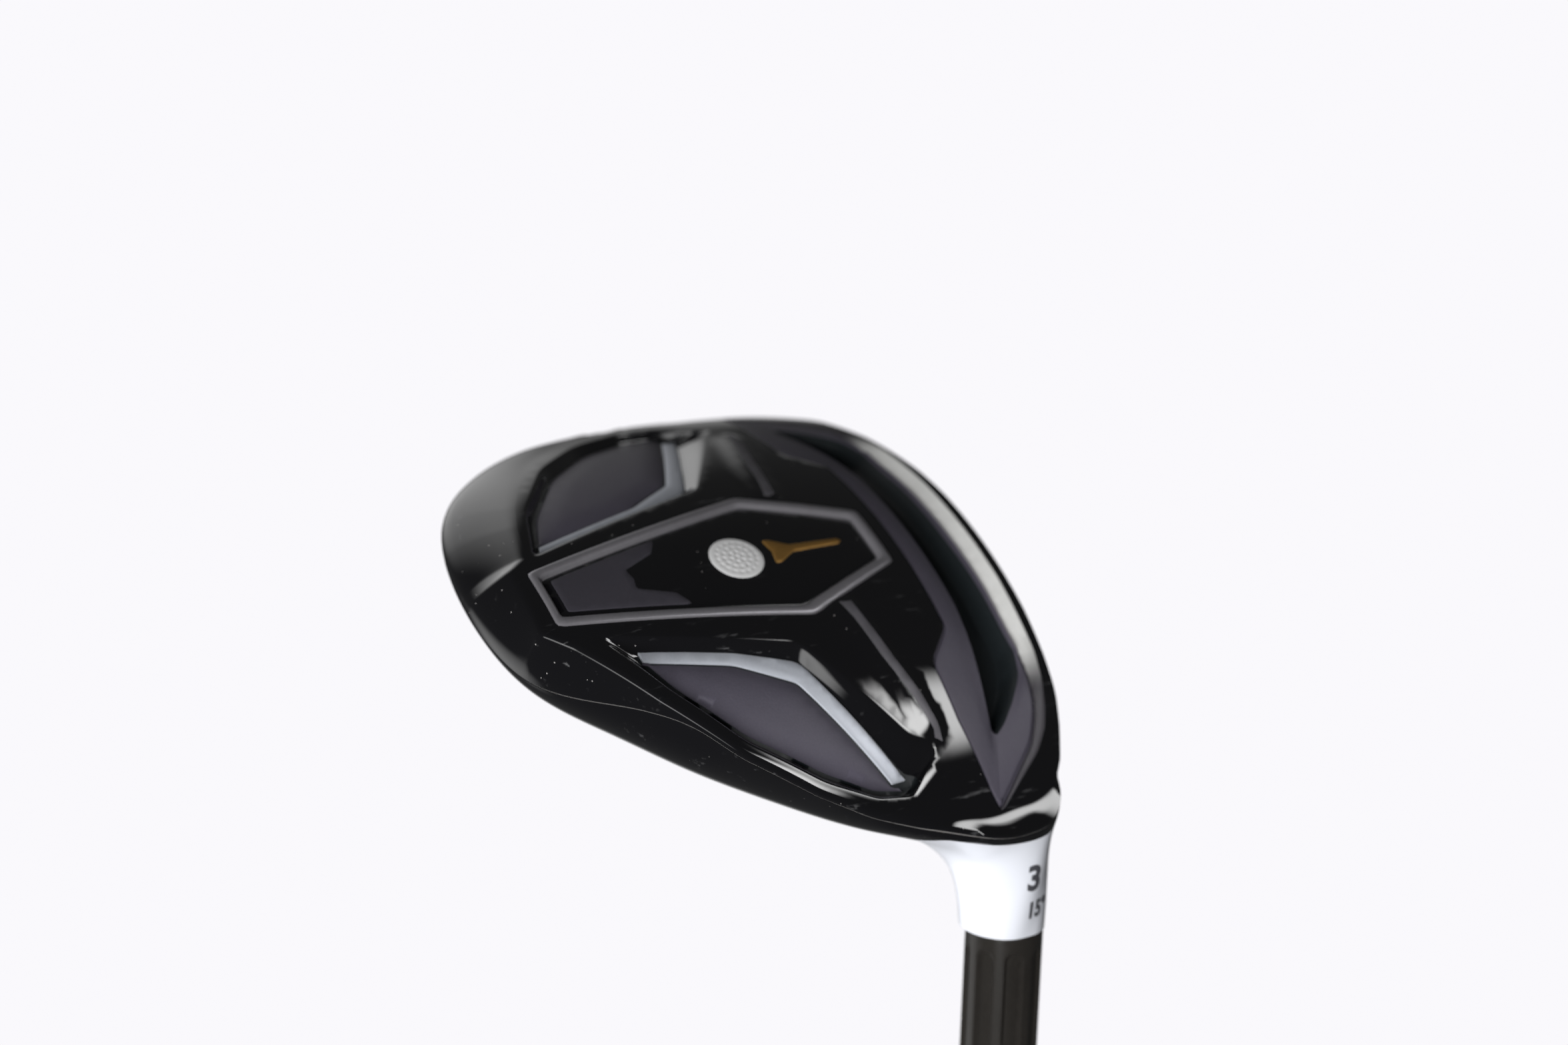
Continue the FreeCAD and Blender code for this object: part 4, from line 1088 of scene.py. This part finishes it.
def bright_edge():
    """The bright chamfer between the leading edge and the pad: worn bare metal, with a painted reflection
    in its near-white colour.
    """
    outer, inner = [np.vstack([line[TIP:], (line[TIP:-1] * MIRROR)[::-1]])
                    for line in (opening, band_inner)]
    place, depth = np.arange(len(inner)), band_depth(inner)
    worn = 0.10 * np.sin(place * 1.7) + 0.07 * np.sin(place * 4.1)
    inner[:, 1] += worn * smooth_step(44.0, 30.0, np.abs(inner[:, 0]))
    # Across the edge, down into the head, and how far it follows the depth of its inner line.
    section = [(0.02, 0.9, 0.6), (0.02, 0.06, 0.0), (0.08, 0.02, 0.0), (0.55, 0.0, 0.55),
               (0.92, 0.0, 0.95), (1.0, 0.05, 1.0), (1.03, 0.5, 1.0)]
    loops = [lifted(towards(outer, inner, s), drop + depth * share) for s, drop, share in section]
    verts, faces = rings(loops, closed=False)
    plate("slot_bright_edge", verts, faces, DOWNWARD, 0.3, EDGE_METAL_PAINTED_REFLECTION, "head_body", 50.0)


slot_lining(front_pad())
bright_edge()

# ---- glue inside the head


def glue_puddle():
    """Hot melt pool on the inside of the sole at the toe: it holds loose bits."""
    middle, radius, top = np.array([-30.0, 14.8]), 6.6, 9.8
    turn = np.arange(60) * 2 * math.pi / 60
    ripple = 1 + 0.05 * np.sin(3 * turn + 0.6) + 0.03 * np.sin(5 * turn)
    shape = circle(60) * (radius * ripple)[:, None]
    loops = [lifted(middle + shape * share, depth)
             for share, depth in ((0.5, 3.0), (0.97, 3.0), (1.0, 3.4))]
    for share, drop in ((1.0, 0.9), (0.96, 0.4), (0.88, 0.1), (0.7, 0.0), (0.35, 0.0)):
        loops.append(np.column_stack([middle + shape * share, np.full(len(shape), top - drop)]))
    verts, faces = rings(loops, cap_first=True, cap_last=True)
    make("glue_puddle", verts, faces, RESIN, "hot_melt_glue", sharp=60.0)


glue_puddle()

# ---- joint line


def joint_filler():
    """A thin grey bead lying just inside the joint between body and crown."""
    line, direction, radius = skirt_lines(1.2)
    z = joint_heights(direction, radius, sole_z(line[:, 0], line[:, 1]) + JOINT_LOW)
    loops = [skirt_loop(direction, radius, z + lift, sink)
             for lift, sink in ((-0.5, 1.2), (-0.3, 0.30), (0.0, 0.12), (0.3, 0.30), (0.5, 1.2))]
    verts, faces = torus(loops)
    make("joint_bead", verts, faces, GROOVE, "head_body", sharp=60.0)


joint_filler()

# ---- hosel, ferrule, shaft and grip


def turned_piece(name, profile, sides, material, node, sharp=35.0):
    """Closed piece round the shaft axis; the profile runs once round its section."""
    verts, faces = torus(tube(profile, sides))
    make(name, verts, faces, material, node, sharp=sharp)


def hosel():
    """Black hosel with eight round-ended flutes."""
    low, high, half_width, depth, flutes = 48.2, 78.0, 1.75, 0.75, 8
    bore, bottom_r, top_r = 4.4, 6.2, 6.3

    def fluted(along):
        def radius(turn):
            pitch = 2 * math.pi / flutes
            offset = (np.abs((turn / pitch) % 1.0 - 0.5)) * pitch * HOSEL_R
            end = np.maximum(np.maximum(low + half_width - along, along - high + half_width), 0.0)
            reach = np.hypot(offset, end)
            return HOSEL_R - depth * smooth_step(half_width, half_width - 0.45, reach)
        return radius

    bottom = WHITE_END - 0.6
    stations = [WHITE_END + 0.12] + list(np.arange(46.2, 81.6, 0.42)) + [81.7]
    profile = [(bore, HOSEL_TOP), (bore, bottom), (bottom_r, bottom)]
    profile += [(fluted(s), s) for s in stations] + [(top_r, HOSEL_TOP)]
    turned_piece("hosel_fluted", profile, 256, HOSEL, "head_body", 40.0)


FERRULE_R, FERRULE_TAPER, FERRULE_START, FERRULE_LENGTH = 6.52, 1.85, HOSEL_TOP + 0.3, 24.4


def ferrule_radius(share):
    """Outer radius at a share of the ferrule's length."""
    return FERRULE_R - FERRULE_TAPER * share ** 2.4


def ferrule():
    """Tapered collar with two grooves, each filled by a silver ring."""
    top, bottom = HOSEL_TOP + 25.0, HOSEL_TOP + 0.05
    body = [(4.3, top), (4.3, bottom), (6.4, bottom), (FERRULE_R, FERRULE_START)]
    for k in range(1, 24):
        groove = 0.16 if k in (6, 9) else 0.0
        body.append((ferrule_radius(k / 24) - groove, FERRULE_START + FERRULE_LENGTH * k / 24))
    body += [(4.62, top - 0.15), (4.5, top)]
    turned_piece("ferrule_collar", body, 64, FERRULE_BLACK, "ferrule")
    for k, along in enumerate((HOSEL_TOP + 6.4, HOSEL_TOP + 9.45)):
        r = ferrule_radius((along - FERRULE_START) / FERRULE_LENGTH)
        ring = [(r - 0.5, along + 0.35), (r - 0.02, along + 0.35), (r + 0.05, along + 0.2),
                (r + 0.05, along - 0.2), (r - 0.02, along - 0.35), (r - 0.5, along - 0.35)]
        turned_piece("ferrule_ring_%d" % (k + 1), ring, 64, BAND, "ferrule")


TIP_R, BUTT_R = 4.25, 7.62
TIP_START, TAPER_START, TAPER_END, BUTT_END = 42.0, 142.0, 794.5, 1094.5
GRIP_START = 831.5
SHAFT_WALL, BAND_SUNK, BAND_PROUD = 1.2, 0.2, 0.02
BANDS = [(128.0, 131.0), (134.0, 135.2), (250.0, 252.0), (470.0, 471.5), (476.0, 500.0), (504.5, 506.0),
         (700.0, 702.0)]


def shaft_radius(along):
    return float(np.interp(along, (TIP_START, TAPER_START, TAPER_END, BUTT_END),
                           (TIP_R, TIP_R, BUTT_R, BUTT_R)))


def shaft():
    """Tapered tube with thin silver bands."""
    inner = [(shaft_radius(a) - SHAFT_WALL, a) for a in (BUTT_END, TAPER_END, TAPER_START, TIP_START)]
    outer = [(shaft_radius(a), a) for a in np.linspace(TIP_START, BUTT_END, 60)]
    turned_piece("shaft_tube", inner + outer, 48, GRAPHITE, "shaft")
    for k, (a, b) in enumerate(BANDS):
        ring = [(shaft_radius(a) - BAND_SUNK, a), (shaft_radius(a) + BAND_PROUD, a + 0.1),
                (shaft_radius(b) + BAND_PROUD, b - 0.1), (shaft_radius(b) - BAND_SUNK, b)]
        turned_piece("shaft_band_%d" % (k + 1), ring[::-1], 64, BAND, "shaft")


def grip_radius(along):
    """Tapered grip: radius by angle, with a lattice of grooves, two plain collars and end rings."""
    s = along - GRIP_START
    stations = (GRIP_START, GRIP_START + 1.0, BUTT_END - 8.0, BUTT_END)
    base = np.interp(along, stations, (8.3, 8.9, 13.4, 14.2))
    plain = sum(smooth_step(3.0, 1.0, abs(s - middle) / 3.0) for middle in (96.0, 180.0))
    tread = smooth_step(14.0, 18.0, s) * smooth_step(252.0, 246.0, s) * (1.0 - min(float(plain), 1.0))
    ring = sum(0.3 * (abs(s - middle) < 0.8) for middle in (9.0, 256.0))

    strands, lead, depth = 8, 9.0, 0.38

    def radius(turn):
        wound = [np.abs((turn * strands / (2 * math.pi) + way * s / lead) % 1.0 - 0.5) for way in (1, -1)]
        return base - depth * smooth_step(0.10, 0.04, np.minimum(*wound)) * tread - ring
    return radius


def grip():
    """Rubber grip and its end cap."""
    low, high = GRIP_START, BUTT_END
    stations = [low, low + 1.0] + list(np.arange(low + 1.6, high - 0.4, 0.8)) + [high]
    profile = [(7.8, high), (7.8, low + 4.0), (7.65, low + 4.0), (7.65, low)]
    profile += [(grip_radius(a), a) for a in stations]
    turned_piece("grip_sleeve", profile, 144, RUBBER, "grip", 50.0)
    cap = [(1.6, 0.0), (14.2, 0.0), (14.6, 0.3), (14.6, 2.8), (14.3, 3.5), (13.5, 4.0), (10.4, 4.0),
           (10.2, 3.7), (9.6, 3.7), (9.4, 4.0), (2.4, 4.0), (1.9, 3.6), (1.6, 3.4)]
    turned_piece("grip_end_cap", [(r, high + rise) for r, rise in cap], 96, RUBBER, "grip_cap")


hosel()
ferrule()
shaft()
grip()


def number_mark(text, name, height):
    """Plan points and small triangles of a line of figures; the figures are `height` tall."""
    curve = bpy.data.curves.new(name + "_outline", "FONT")
    curve.body = text
    curve.size = height
    curve.align_x = "CENTER"
    curve.offset = 0.035 * height
    curve.resolution_u = 6
    holder = bpy.data.objects.new(name + "_outline", curve)
    COLLECTION.objects.link(holder)
    bpy.context.view_layer.update()
    shown = holder.evaluated_get(bpy.context.evaluated_depsgraph_get())
    mesh = bpy.data.meshes.new_from_object(shown)
    flat = np.array([v.co[:2] for v in mesh.vertices])
    faces = [tuple(p.vertices) for p in mesh.polygons]
    bpy.data.objects.remove(holder)
    bpy.data.meshes.remove(mesh)
    for _ in range(3):
        flat, faces = quartered(flat, faces)
    return flat, faces


def quartered(flat, faces):
    """Cuts every triangle in four, so that a mark can follow a curved surface."""
    points, cut = [tuple(p) for p in flat], {}

    def middle(a, b):
        key = (min(a, b), max(a, b))
        if key not in cut:
            cut[key] = len(points)
            points.append(tuple((np.array(points[a]) + points[b]) / 2))
        return cut[key]

    smaller = []
    for a, b, c in faces:
        ab, bc, ca = middle(a, b), middle(b, c), middle(c, a)
        smaller += [(a, ab, ca), (ab, b, bc), (ca, bc, c), (ab, bc, ca)]
    return np.array(points), smaller


# Text, name, place along the shaft axis, turn round it in degrees, height of the figures.
NUMBERS = [("3", "club_number", 34.6, 4.0, 6.0), ("15°", "loft_number", 40.4, -9.0, 4.0)]


def numbers():
    """Club number and loft on the neck, beside the face."""
    for text, name, along, turn, height in NUMBERS:
        flat, faces = number_mark(text, name, height)
        flat = flat - np.array([0.0, 0.35 * height])
        turn = math.radians(turn) - flat[:, 0] / (HOSEL_R + 0.8)
        lengthwise = along - flat[:, 1]
        out = np.cos(turn)[:, None] * SHAFT_SIDE + np.sin(turn)[:, None] * SHAFT_BACK
        foot = SHAFT_FOOT + lengthwise[:, None] * SHAFT_WAY
        reach = skin(foot, out, np.full(len(flat), 5.0), np.full(len(flat), 14.0))
        verts = foot + out * (reach + 0.05)[:, None]
        plate(name, verts, faces, out, 0.2, MARKS, "head_body", 30.0)


numbers()

# ---- stage

EYE = Vector((208.6, 227.6, -210.2)) * MM
RIGHT = Vector((0.46541, -0.82621, -0.31745))
DOWN = Vector((0.65813, 0.08321, 0.74829))
AHEAD = Vector((-0.59183, -0.55718, 0.58248))
ROOM = 0.045
FLOOR_HALF, FLOOR_Z = 80.0, -0.62
LENS, SENSOR, FOCUS, F_STOP = 48.98, 36.0, 0.325, 8.0
PALE_AIR = (0.955, 0.945, 0.975)
# Soft glows mirrored by the club: direction, where the fade starts and ends (cosine), strength.
GLOWS = [(AHEAD, 0.86, 1.0, 0.34),
         ((-0.97, 0.06, 0.02), 0.80, 1.0, 0.85),
         ((0.12, -0.53, -0.84), 0.985, 0.999, 6.0),
         ((0.27, -0.33, -0.90), 0.990, 0.999, 8.0),
         ((0.60, 0.76, -0.25), 0.955, 1.0, 2.2),
         ((-0.30, 0.50, 0.80), 0.90, 1.0, 0.6)]


def camera():
    """Camera focused on the sole, so that what lies further off is soft."""
    data = bpy.data.cameras.new("camera")
    data.lens, data.sensor_width = LENS, SENSOR
    data.clip_start = 0.01
    data.dof.use_dof = True
    focus = bpy.data.objects.new("focus_point", None)
    focus.location = EYE + AHEAD * FOCUS
    COLLECTION.objects.link(focus)
    data.dof.focus_object = focus
    data.dof.aperture_fstop = F_STOP
    piece = bpy.data.objects.new("camera", data)
    turn = Matrix((RIGHT, -DOWN, -AHEAD)).transposed()
    piece.matrix_world = Matrix.Translation(EYE) @ turn.to_4x4()
    COLLECTION.objects.link(piece)
    bpy.context.scene.camera = piece


def softbox(name, place, aim, size, power):
    """A square light that brightens the club but is not mirrored in it."""
    data = bpy.data.lights.new(name, "AREA")
    data.shape, data.size, data.size_y = "RECTANGLE", size, size
    data.energy = power
    piece = bpy.data.objects.new(name, data)
    piece.location = place
    piece.rotation_euler = (Vector(aim) - Vector(place)).to_track_quat("-Z", "Y").to_euler()
    piece.visible_glossy = False
    COLLECTION.objects.link(piece)


def room_light(tree):
    """What the club mirrors: a dim room with a few soft glows, each fading out round its own direction."""
    way = tree.nodes.new("ShaderNodeTexCoord").outputs["Generated"]
    total = None
    for direction, fade_from, fade_to, strength in GLOWS:
        facing = add_node(tree, "ShaderNodeVectorMath", [(1, Vector(direction).normalized()), (0, way)],
                          operation="DOT_PRODUCT")
        limits = [("From Min", fade_from), ("From Max", fade_to), ("To Min", 0.0 if total else ROOM),
                  ("To Max", strength), ("Value", facing.outputs["Value"])]
        glow = add_node(tree, "ShaderNodeMapRange", limits, interpolation_type="SMOOTHSTEP").outputs[0]
        if total:
            glow = add_node(tree, "ShaderNodeMath", [(0, total), (1, glow)], operation="ADD").outputs[0]
        total = glow
    return total


def stage():
    """Pale floor well below the club, pale air, and two soft lights."""
    bpy.context.scene.view_settings.view_transform = "Standard"
    world = bpy.data.worlds.new("studio")
    bpy.context.scene.world = world
    world.use_nodes = True
    tree = world.node_tree
    camera_ray = tree.nodes.new("ShaderNodeLightPath").outputs["Is Camera Ray"]
    mix = add_node(tree, "ShaderNodeMix", [(7, PALE_AIR)], data_type="RGBA")
    put(tree, mix.inputs[6], room_light(tree))
    put(tree, mix.inputs[0], camera_ray)
    put(tree, tree.nodes["Background"].inputs["Color"], mix.outputs[2])
    floor = bpy.data.meshes.new("floor")
    corners = circle(4, FLOOR_HALF * math.sqrt(2), 1.25 * math.pi)
    floor.from_pydata([(x, y, FLOOR_Z) for x, y in corners], [], [(0, 1, 2, 3)])
    paper = satin("floor_paper", (0.86, 0.85, 0.88), (0.92, 0.91, 0.94), 0.8, 3.0, 0.01)
    look = paper.node_tree.nodes["Principled BSDF"]
    put(paper.node_tree, look.inputs["Emission Color"], PALE_AIR)
    put(paper.node_tree, look.inputs["Emission Strength"], 0.7)
    floor.materials.append(paper)
    piece = bpy.data.objects.new("floor", floor)
    COLLECTION.objects.link(piece)
    piece.visible_glossy = False
    piece.visible_diffuse = False
    softbox("key_light", (0.62, 0.80, -0.25), (0.02, 0.02, 0.02), 0.7, 15)
    softbox("sky_light", (-0.4, 0.6, 1.3), (0, 0.03, 0.02), 1.2, 24)


def new_slots():
    """Metal and resin looks for the CAD nodes that are shown as they are."""
    looks = {"badge_adhesive": FILM, "hosel_plug": PLUG, "tip_weight": BRASS,
             "epoxy_bond": RESIN, "grip_tape": TAPE}
    for node, look in looks.items():
        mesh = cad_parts[node].data
        mesh.materials.clear()
        mesh.materials.append(look)


new_slots()
stage()
camera()
